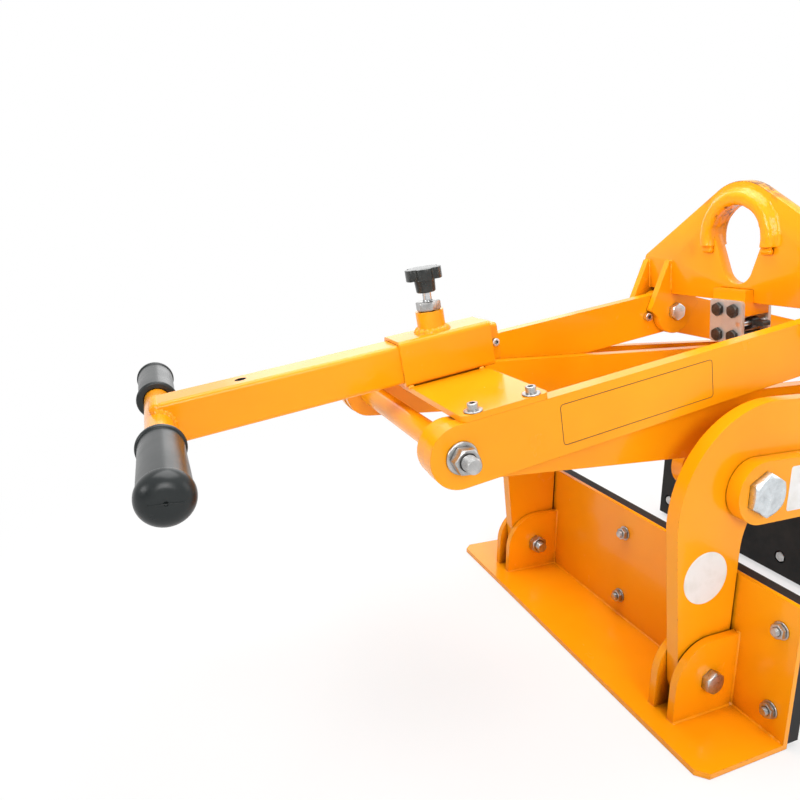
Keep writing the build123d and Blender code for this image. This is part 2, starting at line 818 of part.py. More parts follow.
pad_bolt_places = [(y, z) for y in (-pad_bolt_y, 0, pad_bolt_y) for z in (pad_bolt_low, pad_bolt_high)]
for hand, hand_name in hands.items():
    leg_layer = lever_layer[hand]
    ear_faces = (leg_layer - layer_gap - clevis_ear_t, leg_layer + pitch + bush_flange_t)
    # The grip's own plane stands on the plate's outer face and looks away from the middle
    outer = Plane((hand * grip_face, 0, 0), x_dir=(0, hand, 0), z_dir=(hand, 0, 0))
    with BuildPart() as grip_plate:
        with BuildSketch(outer):
            with Locations((0, grip_top / 2)):
                Rectangle(grip_len, grip_top)
            with Locations(pad_bolt_places):
                Circle(pad_bolt_d / 2, mode=Mode.SUBTRACT)
        extrude(amount=-grip_t)
        with BuildSketch(Plane.XY):
            with BuildLine():
                flange_end = grip_face + flange_w
                Polyline(
                    (hand * grip_face, -grip_len / 2),
                    (hand * (flange_end - flange_corner), -grip_len / 2),
                    (hand * flange_end, flange_corner - grip_len / 2),
                    (hand * flange_end, grip_len / 2 - flange_corner),
                    (hand * (flange_end - flange_corner), grip_len / 2),
                    (hand * grip_face, grip_len / 2),
                    close=True,
                )
            make_face()
        extrude(amount=grip_t)
        for face in ear_faces:
            for side in sides:
                with BuildSketch(side_plane(side, face)):
                    with BuildLine():
                        ear_points = (
                            (grip_face, grip_t),
                            (grip_face + clevis_foot, grip_t),
                            (grip_face + clevis_foot, clevis_top),
                            (grip_face, clevis_top),
                        )
                        FilletPolyline(
                            *[on_side(side, hand * x, z) for x, z in ear_points],
                            radius=(0, 0, clevis_shoulder_r, 0),
                            close=True,
                        )
                    make_face()
                    with Locations(on_side(side, hand * clevis_x, clevis_z)):
                        Circle(clevis_d / 2, mode=Mode.SUBTRACT)
                extrude(amount=clevis_ear_t)
    keep(grip_plate.part, f"grip_plate_{hand_name}")

    with BuildPart() as clevis_bolts:
        for side in sides:
            foot = ear_faces[0] - clevis_nut - thread_end
            head_face = ear_faces[1] + clevis_ear_t
            hexagon(cross_plane(side, head_face, hand * clevis_x, clevis_z), clevis_flats, clevis_head)
            rod(cross_plane(side, foot, hand * clevis_x, clevis_z), clevis_d, head_face - foot)
            nut_plane = cross_plane(side, ear_faces[0] - clevis_nut, hand * clevis_x, clevis_z)
            hexagon(nut_plane, clevis_flats, clevis_nut, clevis_d + 2 * fit_gap)
    keep(clevis_bolts.part, f"clevis_bolts_{hand_name}")

    inner = outer.offset(-grip_t)
    with BuildPart() as pad:
        with BuildSketch(inner):
            with Locations((0, (pad_low + grip_top) / 2)):
                Rectangle(grip_len, grip_top - pad_low)
            with Locations(pad_bolt_places):
                Circle(pad_bolt_d / 2, mode=Mode.SUBTRACT)
        extrude(amount=-pad_t)
        with BuildSketch(inner.offset(-pad_t)):
            with Locations(pad_bolt_places):
                Circle(pad_head_d / 2)
        extrude(amount=pad_head_h, mode=Mode.SUBTRACT)
    keep(pad.part, f"pad_{hand_name}")

    with BuildPart() as pad_bolts:
        for y, z in pad_bolt_places:
            nut_seat = Plane((hand * grip_face, y, z), x_dir=(0, 1, 0), z_dir=(hand, 0, 0))
            head_seat = nut_seat.offset(pad_head_h - pad_t - grip_t)
            hexagon(head_seat.offset(-pad_head_h), pad_bolt_flats, pad_head_h)
            rod(head_seat, pad_bolt_d, grip_t + pad_t - pad_head_h + pad_nut_h + pad_bolt_end)
            hexagon(nut_seat, pad_bolt_flats, pad_nut_h)
    keep(pad_bolts.part, f"pad_bolts_{hand_name}")
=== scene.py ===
import json
import math

import bpy
from mathutils import Matrix, Vector


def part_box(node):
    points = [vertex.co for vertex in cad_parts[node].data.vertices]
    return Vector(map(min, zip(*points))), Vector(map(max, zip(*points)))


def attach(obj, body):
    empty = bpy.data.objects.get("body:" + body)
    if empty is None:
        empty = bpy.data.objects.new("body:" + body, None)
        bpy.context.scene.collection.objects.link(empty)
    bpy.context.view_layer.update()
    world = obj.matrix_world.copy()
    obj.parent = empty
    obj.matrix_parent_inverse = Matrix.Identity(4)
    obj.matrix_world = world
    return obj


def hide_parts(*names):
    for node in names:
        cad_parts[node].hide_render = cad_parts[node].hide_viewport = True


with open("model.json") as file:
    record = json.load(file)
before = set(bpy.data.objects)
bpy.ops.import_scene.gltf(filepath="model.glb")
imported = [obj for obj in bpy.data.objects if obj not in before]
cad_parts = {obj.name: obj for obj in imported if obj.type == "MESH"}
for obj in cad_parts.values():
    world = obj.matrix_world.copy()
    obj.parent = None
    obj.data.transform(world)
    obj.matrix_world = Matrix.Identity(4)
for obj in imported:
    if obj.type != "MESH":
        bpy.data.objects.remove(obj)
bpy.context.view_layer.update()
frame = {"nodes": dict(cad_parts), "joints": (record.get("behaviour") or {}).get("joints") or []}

nodes = frame["nodes"]
pivotAt = {joint["name"]: Vector(joint["pos_m"]) for joint in frame["joints"] if "pos_m" in joint}
hands = {"left": -1, "right": 1}
sides = (-1, 1)  # near and far
roundSides = 48
print("frame loaded:", len(nodes), "nodes")


# Work at the bench: picking, shaping and placing

def freshStart():
    if bpy.context.mode != "OBJECT":
        bpy.ops.object.mode_set(mode="OBJECT")
    bpy.ops.object.select_all(action="DESELECT")


def pick(*pieces):
    freshStart()
    for piece in pieces:
        piece.select_set(True)
    bpy.context.view_layer.objects.active = pieces[-1]


def startEdit(piece):
    pick(piece)
    bpy.ops.object.mode_set(mode="EDIT")
    bpy.ops.mesh.select_all(action="SELECT")


def mergeDoubles():
    bpy.ops.mesh.select_all(action="SELECT")
    bpy.ops.mesh.remove_doubles(threshold=1e-6)


def endEdit():
    # Back to the object, with its faces turned outwards
    bpy.ops.mesh.select_all(action="SELECT")
    bpy.ops.mesh.normals_make_consistent(inside=False)
    bpy.ops.object.mode_set(mode="OBJECT")


def settle(piece):
    pick(piece)
    bpy.ops.object.transform_apply(location=True, rotation=True, scale=True)
    return piece


def applyModifier(piece, kind, **settings):
    pick(piece)
    bpy.ops.object.modifier_add(type=kind)
    modifier = piece.modifiers[-1]
    for key, value in settings.items():
        setattr(modifier, key, value)
    bpy.ops.object.modifier_apply(modifier=modifier.name)


def softenEdges(piece, width, segments, angle):
    applyModifier(piece, "BEVEL", width=width, segments=segments, limit_method="ANGLE",
                  angle_limit=math.radians(angle))


def discard(*templates):
    pick(*templates)
    bpy.ops.object.delete()


def cutBy(piece, tool, operation):
    applyModifier(piece, "BOOLEAN", object=tool, operation=operation, solver="EXACT")
    discard(tool)


def trimBy(piece, point, normal):
    # Takes away what lies beyond a plane and closes the cut
    startEdit(piece)
    bpy.ops.mesh.bisect(plane_co=point, plane_no=normal, use_fill=True, clear_outer=True)
    endEdit()


def joinAll(pieces):
    pick(*pieces)
    bpy.ops.object.join()
    return bpy.context.object


def placed(template, matrix):
    # A copy with its own mesh, moved in its mesh
    copy = template.copy()
    copy.data = template.data.copy()
    bpy.context.collection.objects.link(copy)
    copy.data.transform(matrix)
    return copy


def facing(point, axis, twist=0.0):
    # The matrix that stands a piece made along +Z on a point, looking along an axis
    turn = Vector(axis).to_track_quat("Z", "Y").to_matrix().to_4x4()
    return Matrix.Translation(point) @ turn @ Matrix.Rotation(math.radians(twist), 4, "Z")


def drawLine(points):
    # An edge chain, drawn by extruding one vertex from point to point
    freshStart()
    bpy.ops.mesh.primitive_plane_add(size=0.01)
    line = bpy.context.object
    startEdit(line)
    bpy.ops.mesh.merge(type="CENTER")
    bpy.ops.transform.translate(value=Vector(points[0]))
    for start, end in zip(points, points[1:]):
        step = Vector(end) - Vector(start)
        bpy.ops.mesh.extrude_vertices_move(TRANSFORM_OT_translate={"value": step})
    bpy.ops.object.mode_set(mode="OBJECT")
    return line


def turned(profile, steps=roundSides):
    # A profile of radius and height, spun about the Z axis
    piece = drawLine([(radius, 0, height) for radius, height in profile])
    startEdit(piece)
    bpy.ops.mesh.spin(steps=steps, angle=2 * math.pi, center=(0, 0, 0), axis=(0, 0, 1))
    mergeDoubles()
    endEdit()
    return piece


def slab(outline, thickness):
    # An outline in Y and Z, made into a plate about x = 0
    points = [(-thickness / 2, y, z) for y, z in outline]
    piece = drawLine([*points, points[0]])
    startEdit(piece)
    mergeDoubles()
    bpy.ops.mesh.select_all(action="SELECT")
    bpy.ops.mesh.edge_face_add()
    bpy.ops.mesh.extrude_region_move(TRANSFORM_OT_translate={"value": (thickness, 0, 0)})
    endEdit()
    return piece


def cylinder(sideCount, radius, depth, middle):
    freshStart()
    bpy.ops.mesh.primitive_cylinder_add(vertices=sideCount, radius=radius, depth=depth, location=middle)
    return settle(bpy.context.object)


def linePoints(start, end, count):
    return [Vector(start).lerp(Vector(end), step / count) for step in range(count + 1)]


def arcPoints(centre, radius, start, end, count):
    angles = [math.radians(start + (end - start) * step / count) for step in range(count + 1)]
    return [(centre[0] + radius * math.cos(a), centre[1] + radius * math.sin(a)) for a in angles]


def keepPiece(piece, name, body, finish, replaced=(), smoothAngle=35):
    settle(piece)
    piece.name = name
    piece.data.name = name
    piece.data.materials.clear()
    piece.data.materials.append(finish)
    bpy.ops.object.shade_smooth_by_angle(angle=math.radians(smoothAngle))
    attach(piece, body)
    if replaced:
        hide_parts(*replaced)
    return piece


# Finishes

def newFinish(name):
    finish = bpy.data.materials.new(name)
    finish.use_nodes = True
    tree = finish.node_tree
    return finish, tree, tree.nodes["Principled BSDF"]


def addNode(tree, kind, values=None, **settings):
    node = tree.nodes.new(kind)
    for key, value in settings.items():
        setattr(node, key, value)
    for key, value in (values or {}).items():
        node.inputs[key].default_value = value
    return node


def setInputs(tree, shader, inputs):
    # Links a socket to each named input, or sets its value
    for name, value in inputs.items():
        if isinstance(value, bpy.types.NodeSocket):
            tree.links.new(value, shader.inputs[name])
        else:
            shader.inputs[name].default_value = value


def addPlace(tree):
    return addNode(tree, "ShaderNodeTexCoord").outputs["Object"]


def addNoise(tree, scale, detail=3.0, roughness=0.5, stretch=None):
    noise = addNode(tree, "ShaderNodeTexNoise", {"Scale": scale, "Detail": detail, "Roughness": roughness})
    source = addPlace(tree)
    if stretch:
        mapping = addNode(tree, "ShaderNodeMapping", {"Scale": stretch})
        tree.links.new(source, mapping.inputs["Vector"])
        source = mapping.outputs["Vector"]
    tree.links.new(source, noise.inputs["Vector"])
    return noise.outputs["Fac"]


def addRamp(tree, source, span, first, last):
    # A colour, or a grey given as one number, that changes over a span of the source
    ramp = addNode(tree, "ShaderNodeValToRGB")
    for element, position, tone in zip(ramp.color_ramp.elements, span, (first, last)):
        element.position = position
        element.color = (*tone, 1.0) if isinstance(tone, tuple) else (tone, tone, tone, 1.0)
    tree.links.new(source, ramp.inputs["Fac"])
    return ramp.outputs["Color"]


def addRange(tree, source, span, results=(0.0, 1.0), curve="LINEAR"):
    share = addNode(tree, "ShaderNodeMapRange", {"From Min": span[0], "From Max": span[1],
                                                 "To Min": results[0], "To Max": results[1]},
                    interpolation_type=curve)
    tree.links.new(source, share.inputs["Value"])
    return share.outputs["Result"]


def addMix(tree, factor, first, second):
    # Sockets 0, 6 and 7 are the mix node's factor and its two colours, output 2 is its colour
    mix = addNode(tree, "ShaderNodeMix", {7: (*second, 1.0)}, data_type="RGBA")
    tree.links.new(factor, mix.inputs[0])
    tree.links.new(first, mix.inputs[6])
    return mix.outputs[2]


def addMath(tree, operation, first, second):
    node = addNode(tree, "ShaderNodeMath", operation=operation, use_clamp=True)
    for socket, value in zip(node.inputs, (first, second)):
        if isinstance(value, bpy.types.NodeSocket):
            tree.links.new(value, socket)
        else:
            socket.default_value = value
    return node.outputs[0]


def addBump(tree, height, strength, distance, normal=None):
    bump = addNode(tree, "ShaderNodeBump", {"Strength": strength, "Distance": distance})
    tree.links.new(height, bump.inputs["Height"])
    if normal:
        tree.links.new(normal, bump.inputs["Normal"])
    return bump.outputs["Normal"]


def addCorners(tree, reach):
    # 1 in the open, less in corners and gaps
    return addNode(tree, "ShaderNodeAmbientOcclusion", {"Distance": reach}, samples=6).outputs["AO"]


def addEdges(tree, radius):
    # Rounded edge normals, and how far they lean from the face: 0 on flats, more on edges
    bevel = addNode(tree, "ShaderNodeBevel", {"Radius": radius}, samples=4)
    geometry = addNode(tree, "ShaderNodeNewGeometry")
    dot = addNode(tree, "ShaderNodeVectorMath", operation="DOT_PRODUCT")
    tree.links.new(bevel.outputs["Normal"], dot.inputs[0])
    tree.links.new(geometry.outputs["Normal"], dot.inputs[1])
    lean = addMath(tree, "SUBTRACT", 1.0, dot.outputs["Value"])
    return bevel.outputs["Normal"], lean


def addDistance(tree, place):
    away = addNode(tree, "ShaderNodeVectorMath", {1: place}, operation="DISTANCE")
    tree.links.new(addPlace(tree), away.inputs[0])
    return away.outputs["Value"]


wearNoise = {"scale": 75.0, "detail": 4.0, "roughness": 0.65, "share": 0.8}


def addWear(tree, wear):
    # Worn patches on a ring about a middle, above a height
    n = wearNoise
    split = addNode(tree, "ShaderNodeSeparateXYZ")
    tree.links.new(addPlace(tree), split.inputs[0])
    onRing = addMath(tree, "MULTIPLY", addRange(tree, addDistance(tree, wear["at"]), wear["reach"]),
                     addRange(tree, split.outputs["Z"], wear["heights"]))
    noise = addNoise(tree, n["scale"], n["detail"], n["roughness"])
    blots = addRamp(tree, noise, wear["span"], 0.0, n["share"])
    return addMath(tree, "MULTIPLY", onRing, blots)


def addSmear(tree, smear):
    # A faint smudge that fades out around a place
    share = addRange(tree, addDistance(tree, smear["at"]), (0.0, smear["reach"]), (smear["share"], 0.0))
    noise = addNoise(tree, smear["scale"], detail=4.0, roughness=0.6)
    blots = addRamp(tree, noise, smear["span"], smear["least"], 1.0)
    return addMath(tree, "MULTIPLY", share, blots)


patchSpan = (0.3, 0.7)
paint = {
    "deep": (0.90, 0.315, 0.002),
    "light": (0.98, 0.375, 0.004),
    "chip": (0.16, 0.06, 0.02),
    "grimeAndShade": (0.34, 0.085, 0.003),
    "unlit": (0.03, 0.009, 0.002),
    "patchScale": 5.0,
    "peelScale": 420.0,
    "peelBump": 0.06,
    "peelHeight": 0.0004,
    "smudgeScale": 14.0,
    "smudgeSpan": (0.3, 0.75),
    "roughness": (0.16, 0.3),
    "grimeAndShadeScale": 56.0,
    "grimeAndShadeSpan": (0.38, 0.66),
    "cornerReach": 0.022,
    "grimeAndShadeFrom": 0.72,
    "unlitReach": 0.06,
    "unlitSpan": (0.08, 0.32),
    "gapShadeSpan": (0.14, 0.32),
    "gapShadeShare": 0.85,
    "edgeRadius": 0.0016,
    "leanSpan": (0.08, 0.2),
    "chipScale": 160.0,
    "chipSpan": (0.6, 0.66),
    "specular": 0.22,
    "coat": 0.2,
    "coatRoughness": 0.06,
    "smear": None,
    "wear": [],
}
# The head's paint is worn around the top of the eye and along the arch, and smeared beside the eye
wornPaint = {
    **paint, "chip": (0.085, 0.045, 0.028), "chipSpan": (0.5, 0.56),
    "smear": {"at": (-0.0243, 0.113, 0.6607), "reach": 0.024, "share": 0.3, "scale": 60.0,
              "span": (0.3, 0.6), "least": 0.2},
    "wear": [
        {"at": (-0.01685, 0.0, 0.68363), "reach": (0.0625, 0.0585), "heights": (0.69, 0.725),
         "span": (0.47, 0.59)},
        {"at": (-0.01728, 0.0, 0.68741), "reach": (0.0884, 0.0898), "heights": (0.735, 0.76),
         "span": (0.42, 0.54)},
    ],
}


def makePaint(name, recipe):
    r = recipe
    finish, tree, shader = newFinish(name)
    edgeNormal, lean = addEdges(tree, r["edgeRadius"])
    tint = addRamp(tree, addNoise(tree, r["patchScale"]), patchSpan, r["deep"], r["light"])
    # Grime with painted corner shade: blotches of darker, deeper orange where ambient occlusion finds nearby
    # surfaces
    corners = addCorners(tree, r["cornerReach"])
    grimeAndShadeNoise = addNoise(tree, r["grimeAndShadeScale"], detail=5.0, roughness=0.6)
    grimeAndShade = addRamp(tree, grimeAndShadeNoise, r["grimeAndShadeSpan"], 0.0, 1.0)
    creviceDark = addMath(tree, "MULTIPLY", addMath(tree, "SUBTRACT", r["grimeAndShadeFrom"], corners), grimeAndShade)
    tint = addMix(tree, creviceDark, tint, r["grimeAndShade"])
    # Painted shade: gaps, tight corners and tube bores are painted near black
    unlit = addRamp(tree, addCorners(tree, r["unlitReach"]), r["unlitSpan"], 1.0, 0.0)
    gapShade = addRamp(tree, corners, r["gapShadeSpan"], r["gapShadeShare"], 0.0)
    tint = addMix(tree, addMath(tree, "MAXIMUM", unlit, gapShade), tint, r["unlit"])
    if r["smear"]:
        tint = addMix(tree, addSmear(tree, r["smear"]), tint, r["grimeAndShade"])
    chipNoise = addNoise(tree, r["chipScale"], detail=4.0, roughness=0.7)
    chips = addRamp(tree, chipNoise, r["chipSpan"], 0.0, 1.0)
    chipAt = addMath(tree, "MULTIPLY", addRamp(tree, lean, r["leanSpan"], 0.0, 1.0), chips)
    for wear in r["wear"]:
        chipAt = addMath(tree, "MAXIMUM", chipAt, addWear(tree, wear))
    smudge = addNoise(tree, r["smudgeScale"], detail=5.0, roughness=0.6)
    peel = addNoise(tree, r["peelScale"], detail=2.0)
    setInputs(tree, shader, {
        "Base Color": addMix(tree, chipAt, tint, r["chip"]),
        "Roughness": addRamp(tree, smudge, r["smudgeSpan"], *r["roughness"]),
        "Normal": addBump(tree, peel, r["peelBump"], r["peelHeight"], edgeNormal),
        "Specular IOR Level": r["specular"],
        "Coat Weight": r["coat"],
        "Coat Roughness": r["coatRoughness"],
    })
    return finish


# Painted crevice shade, with crevice dirt: metal darkens to near black where ambient occlusion finds nearby
# surfaces
crevice = {"reach": 0.008, "span": (0.2, 0.62), "creviceDark": (0.035, 0.03, 0.026)}
scratch = {"span": (0.3, 0.75), "height": 0.0002}
zinc = {
    "dark": (0.52, 0.55, 0.57), "light": (0.80, 0.845, 0.875), "patchScale": 60.0, "grainScale": 260.0,
    "grainStretch": (1.0, 1.0, 3.0), "roughness": (0.24, 0.44), "metallic": 1.0, "bump": 0.05,
    "edgeRadius": 0.0006,
}
dullZinc = {**zinc, "dark": (0.32, 0.32, 0.315), "light": (0.58, 0.575, 0.565)}
stainless = {
    "dark": (0.58, 0.59, 0.60), "light": (0.76, 0.77, 0.78), "patchScale": 40.0, "grainScale": 300.0,
    "grainStretch": (1.0, 1.0, 0.2), "roughness": (0.14, 0.28), "metallic": 1.0, "bump": 0.03,
    "edgeRadius": 0.0005,
}
coverZinc = {
    "dark": (0.52, 0.52, 0.50), "light": (0.66, 0.66, 0.63), "patchScale": 25.0, "grainScale": 180.0,
    "grainStretch": (1.0, 1.0, 1.0), "roughness": (0.38, 0.55), "metallic": 0.75, "bump": 0.05,
    "edgeRadius": 0.001,
}
blackOxide = {
    "dark": (0.035, 0.033, 0.030), "light": (0.10, 0.095, 0.085), "patchScale": 120.0, "grainScale": 300.0,
    "grainStretch": (1.0, 1.0, 1.0), "roughness": (0.32, 0.5), "metallic": 0.85, "bump": 0.06,
    "edgeRadius": 0.0006,
}
bearingBronze = {
    "dark": (0.42, 0.25, 0.10), "light": (0.62, 0.42, 0.20), "patchScale": 80.0, "grainScale": 300.0,
    "grainStretch": (1.0, 3.0, 1.0), "roughness": (0.3, 0.45), "metallic": 1.0, "bump": 0.05,
    "edgeRadius": 0.0004,
}


def makeMetal(name, metal):
    finish, tree, shader = newFinish(name)
    edgeNormal = addEdges(tree, metal["edgeRadius"])[0]
    patches = addNoise(tree, metal["patchScale"], detail=4.0, roughness=0.6)
    clean = addRamp(tree, patches, patchSpan, metal["dark"], metal["light"])
    # Painted crevice shade, with crevice dirt
    creviceDarkMask = addRamp(tree, addCorners(tree, crevice["reach"]), crevice["span"], 1.0, 0.0)
    scratches = addNoise(tree, metal["grainScale"], roughness=0.6, stretch=metal["grainStretch"])
    setInputs(tree, shader, {
        "Base Color": addMix(tree, creviceDarkMask, clean, crevice["creviceDark"]),
        "Roughness": addRamp(tree, scratches, scratch["span"], *metal["roughness"]),
        "Normal": addBump(tree, scratches, metal["bump"], scratch["height"], edgeNormal),
        "Metallic": metal["metallic"],
    })
    return finish


dustSpan = (0.35, 0.8)
darkGrain = 0.0003
rubber = {
    "dark": (0.010, 0.010, 0.010), "dust": (0.032, 0.031, 0.029), "patchScale": 22.0, "grainScale": 900.0,
    "roughness": (0.5, 0.66), "bump": 0.18, "specular": 0.2,
}
dippedGrip = {
    "dark": (0.011, 0.014, 0.0145), "dust": (0.020, 0.024, 0.024), "patchScale": 16.0, "grainScale": 500.0,
    "roughness": (0.25, 0.36), "bump": 0.012, "specular": 0.34,
}
plastic = {
    "dark": (0.014, 0.016, 0.015), "dust": (0.026, 0.029, 0.027), "patchScale": 70.0, "grainScale": 1400.0,
    "roughness": (0.2, 0.32), "bump": 0.05, "specular": 0.5,
}


def makeDark(name, dark):
    finish, tree, shader = newFinish(name)
    patches = addNoise(tree, dark["patchScale"], detail=5.0, roughness=0.65)
    grain = addNoise(tree, dark["grainScale"], detail=2.0)
    setInputs(tree, shader, {
        "Base Color": addRamp(tree, patches, dustSpan, dark["dark"], dark["dust"]),
        "Roughness": addRamp(tree, patches, patchSpan, *dark["roughness"]),
        "Normal": addBump(tree, grain, dark["bump"], darkGrain),
        "Specular IOR Level": dark["specular"],
    })
    return finish


vinyl = {
    "clean": (0.80, 0.79, 0.78), "worn": (0.66, 0.64, 0.60), "inkDark": (0.012, 0.011, 0.010),
    "inkWorn": (0.05, 0.035, 0.02), "patchScale": 30.0, "wornSpan": (0.45, 0.8), "roughness": (0.28, 0.45),
    "bump": 0.04, "bumpHeight": 0.0005,
}


def makeVinyl(name, clean, worn):
    finish, tree, shader = newFinish(name)
    patches = addNoise(tree, vinyl["patchScale"], detail=5.0, roughness=0.6)
    setInputs(tree, shader, {
        "Base Color": addRamp(tree, patches, vinyl["wornSpan"], clean, worn),
        "Roughness": addRamp(tree, patches, patchSpan, *vinyl["roughness"]),
        "Normal": addBump(tree, patches, vinyl["bump"], vinyl["bumpHeight"]),
    })
    return finish


finishes = {
    "orange_paint": makePaint("orangePaint", paint),
    "zinc_steel": makeMetal("zincSteel", zinc),
    "stainless_steel": makeMetal("stainlessSteel", stainless),
    "black_steel": makeMetal("blackSteel", blackOxide),
    "bronze": makeMetal("bearingBronze", bearingBronze),
    "black_rubber": makeDark("blackRubber", rubber),
    "black_plastic": makeDark("blackPlastic", plastic),
}
wornFinish = makePaint("wornPaint", wornPaint)
dullFinish = makeMetal("dullZinc", dullZinc)
coverFinish = makeMetal("coverZinc", coverZinc)
gripFinish = makeDark("dippedGrip", dippedGrip)
blankVinyl = makeVinyl("blankVinyl", vinyl["clean"], vinyl["worn"])
inkVinyl = makeVinyl("inkVinyl", vinyl["inkDark"], vinyl["inkWorn"])

for name, node in nodes.items():
    # A node keeps its record slot and takes that slot's finish
    slotName = node.material_slots[0].material.name.split(".")[0]
    chosen = coverFinish if name == "lock_covers" else finishes[slotName]
    for materialSlot in node.material_slots:
        materialSlot.material = chosen
print("finishes:", len(bpy.data.materials))


# Fasteners: chamfered hexagons, threaded ends and socket heads

hexShape = {"faceShare": 0.94, "slope": math.tan(math.radians(60)), "coneRise": 0.5, "lipShare": 0.04,
            "bevel": 0.0004, "bevelAngle": 28}
threadShape = {"depthShare": 0.58, "crestShare": 0.14, "steps": 28, "spareTurns": 2, "chamferSlope": 1.0}
barShape = {"bevel": 0.0005, "bevelAngle": 60, "bite": 0.001}
rimShare = {"washer": 0.42, "socketHead": 0.07}


def trimByCone(piece, height, end, faceRadius, slope):
    # Keeps what lies inside a cone that meets one end at the face radius
    rise = faceRadius / slope * hexShape["coneRise"]
    freshStart()
    bpy.ops.mesh.primitive_cone_add(
        vertices=roundSides,
        radius1=faceRadius + slope * (height + rise),
        radius2=faceRadius - slope * rise,
        depth=height + 2 * rise,
        location=(0, 0, height / 2),
        rotation=(0 if end > 0 else math.pi, 0, 0),
    )
    cutBy(piece, settle(bpy.context.object), "INTERSECT")


def hexSolid(flats, height, ends, bore=0.0):
    piece = cylinder(6, flats / math.sqrt(3), height, (0, 0, height / 2))
    for end in ends:
        trimByCone(piece, height, end, flats * hexShape["faceShare"] / 2, hexShape["slope"])
    if bore:
        lip = bore * hexShape["lipShare"]
        wide = bore / 2 + lip
        cutBy(piece, turned([(0, -lip), (wide, -lip), (wide, lip / 2), (bore / 2, 2 * lip),
                             (bore / 2, height - 2 * lip), (wide, height - lip / 2), (wide, height + lip),
                             (0, height + lip)]), "DIFFERENCE")
    softenEdges(piece, hexShape["bevel"], 2, hexShape["bevelAngle"])
    return piece


def threadedEnd(diameter, length, pitch):
    # A helical thread from z = 0 to its length, flat below and chamfered above
    crest = threadShape["crestShare"] * pitch
    root = diameter / 2 - threadShape["depthShare"] * pitch
    piece = drawLine([(root, 0, -pitch), (diameter / 2, 0, -pitch / 2 - crest / 2),
                      (diameter / 2, 0, -pitch / 2 + crest / 2), (root, 0, 0)])
    turns = math.ceil(length / pitch) + threadShape["spareTurns"]
    applyModifier(piece, "SCREW", angle=2 * math.pi, screw_offset=pitch, axis="Z", iterations=turns,
                  steps=threadShape["steps"], render_steps=threadShape["steps"])
    startEdit(piece)
    mergeDoubles()
    bpy.ops.object.mode_set(mode="OBJECT")
    trimBy(piece, (0, 0, 0), (0, 0, -1))
    trimBy(piece, (0, 0, length), (0, 0, 1))
    trimByCone(piece, length, 1, root, threadShape["chamferSlope"])
    return piece


def roundBar(diameter, start, end):
    piece = cylinder(roundSides, diameter / 2, end - start, (0, 0, (start + end) / 2))
    softenEdges(piece, barShape["bevel"], 2, barShape["bevelAngle"])
    return piece


def washerDisc(outer, bore, thickness):
    rim = thickness * rimShare["washer"]
    lower = arcPoints((outer / 2 - rim, rim), rim, -90, 0, 4)
    upper = arcPoints((outer / 2 - rim, thickness - rim), rim, 0, 90, 4)
    return turned([(bore / 2, 0), *lower, *upper, (bore / 2, thickness), (bore / 2, 0)])


def socketScrew(screw, reach):
    # Head on z = 0 and shank below it, with a hexagon socket and a rounded rim
    s = screw
    rim = s["headD"] * rimShare["socketHead"]
    piece = turned([(0, -reach), (s["d"] / 2, -reach), (s["d"] / 2, 0), (s["headD"] / 2, 0),
                    *arcPoints((s["headD"] / 2 - rim, s["headH"] - rim), rim, 0, 90, 5), (0, s["headH"])])
    cutBy(piece, cylinder(6, s["socket"] / math.sqrt(3), 2 * s["deep"], (0, 0, s["headH"])), "DIFFERENCE")
    return piece


def tieFrame(hand):
    # Pin, direction along the tie bar to the head, and the direction square to it
    pin = pivotAt[f"tie_{hand}_pin"]
    along = (pivotAt["head_pin"] - pin).normalized()
    up = (Vector((0, 0, 1)) - along * along.z).normalized()
    return pin, along, up


def onTie(hand, along, up, across=0.0):
    pin, alongAxis, upAxis = tieFrame(hand)
    return pin + alongAxis * along + upAxis * up + Vector((0, across, 0))


def onTieTop(hand, along, up):
    # Stands a piece on the tie bar's top side, with its x axis along the bar
    alongAxis, upAxis = tieFrame(hand)[1:]
    turn = Matrix((alongAxis, upAxis.cross(alongAxis), upAxis)).transposed().to_4x4()
    return Matrix.Translation(onTie(hand, along, up)) @ turn


def besidePin(pin, y, way):
    # Stands a piece beside a pin, looking along Y
    return facing(pin + Vector((0, y, 0)), (0, way, 0))


mainBolt = {"d": 0.033, "flats": 0.056, "head": 0.0125, "end": 0.002}


def makePivotBolts():
    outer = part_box("outer_link_far")[1].y
    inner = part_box("inner_link_far")[0].y - mainBolt["end"]
    boltHead = hexSolid(mainBolt["flats"], mainBolt["head"], (1,))
    shank = roundBar(mainBolt["d"], inner - outer, barShape["bite"])
    copies = []
    for side in sides:
        for joint in ("scissor_left", "scissor_right"):
            seat = besidePin(pivotAt[joint], side * outer, side)
            copies += [placed(boltHead, seat), placed(shank, seat)]
    discard(boltHead, shank)
    keepPiece(joinAll(copies), "pivotBolts", "pivot_frame", finishes["zinc_steel"],
              ["pivot_bolts"])


pinBolt = {
    "d": 0.020, "flats": 0.030, "head": 0.0125, "nut": 0.016, "pitch": 0.0025, "bore": 0.0201, "end": 0.011,
    "rodEnd": 0.016, "washerD": 0.041, "washerT": 0.004, "earT": 0.014, "layerGap": 0.0015, "nutTwist": 30,
}
clevisBolt = {**pinBolt, "earT": 0.012, "flangeT": 0.0012}


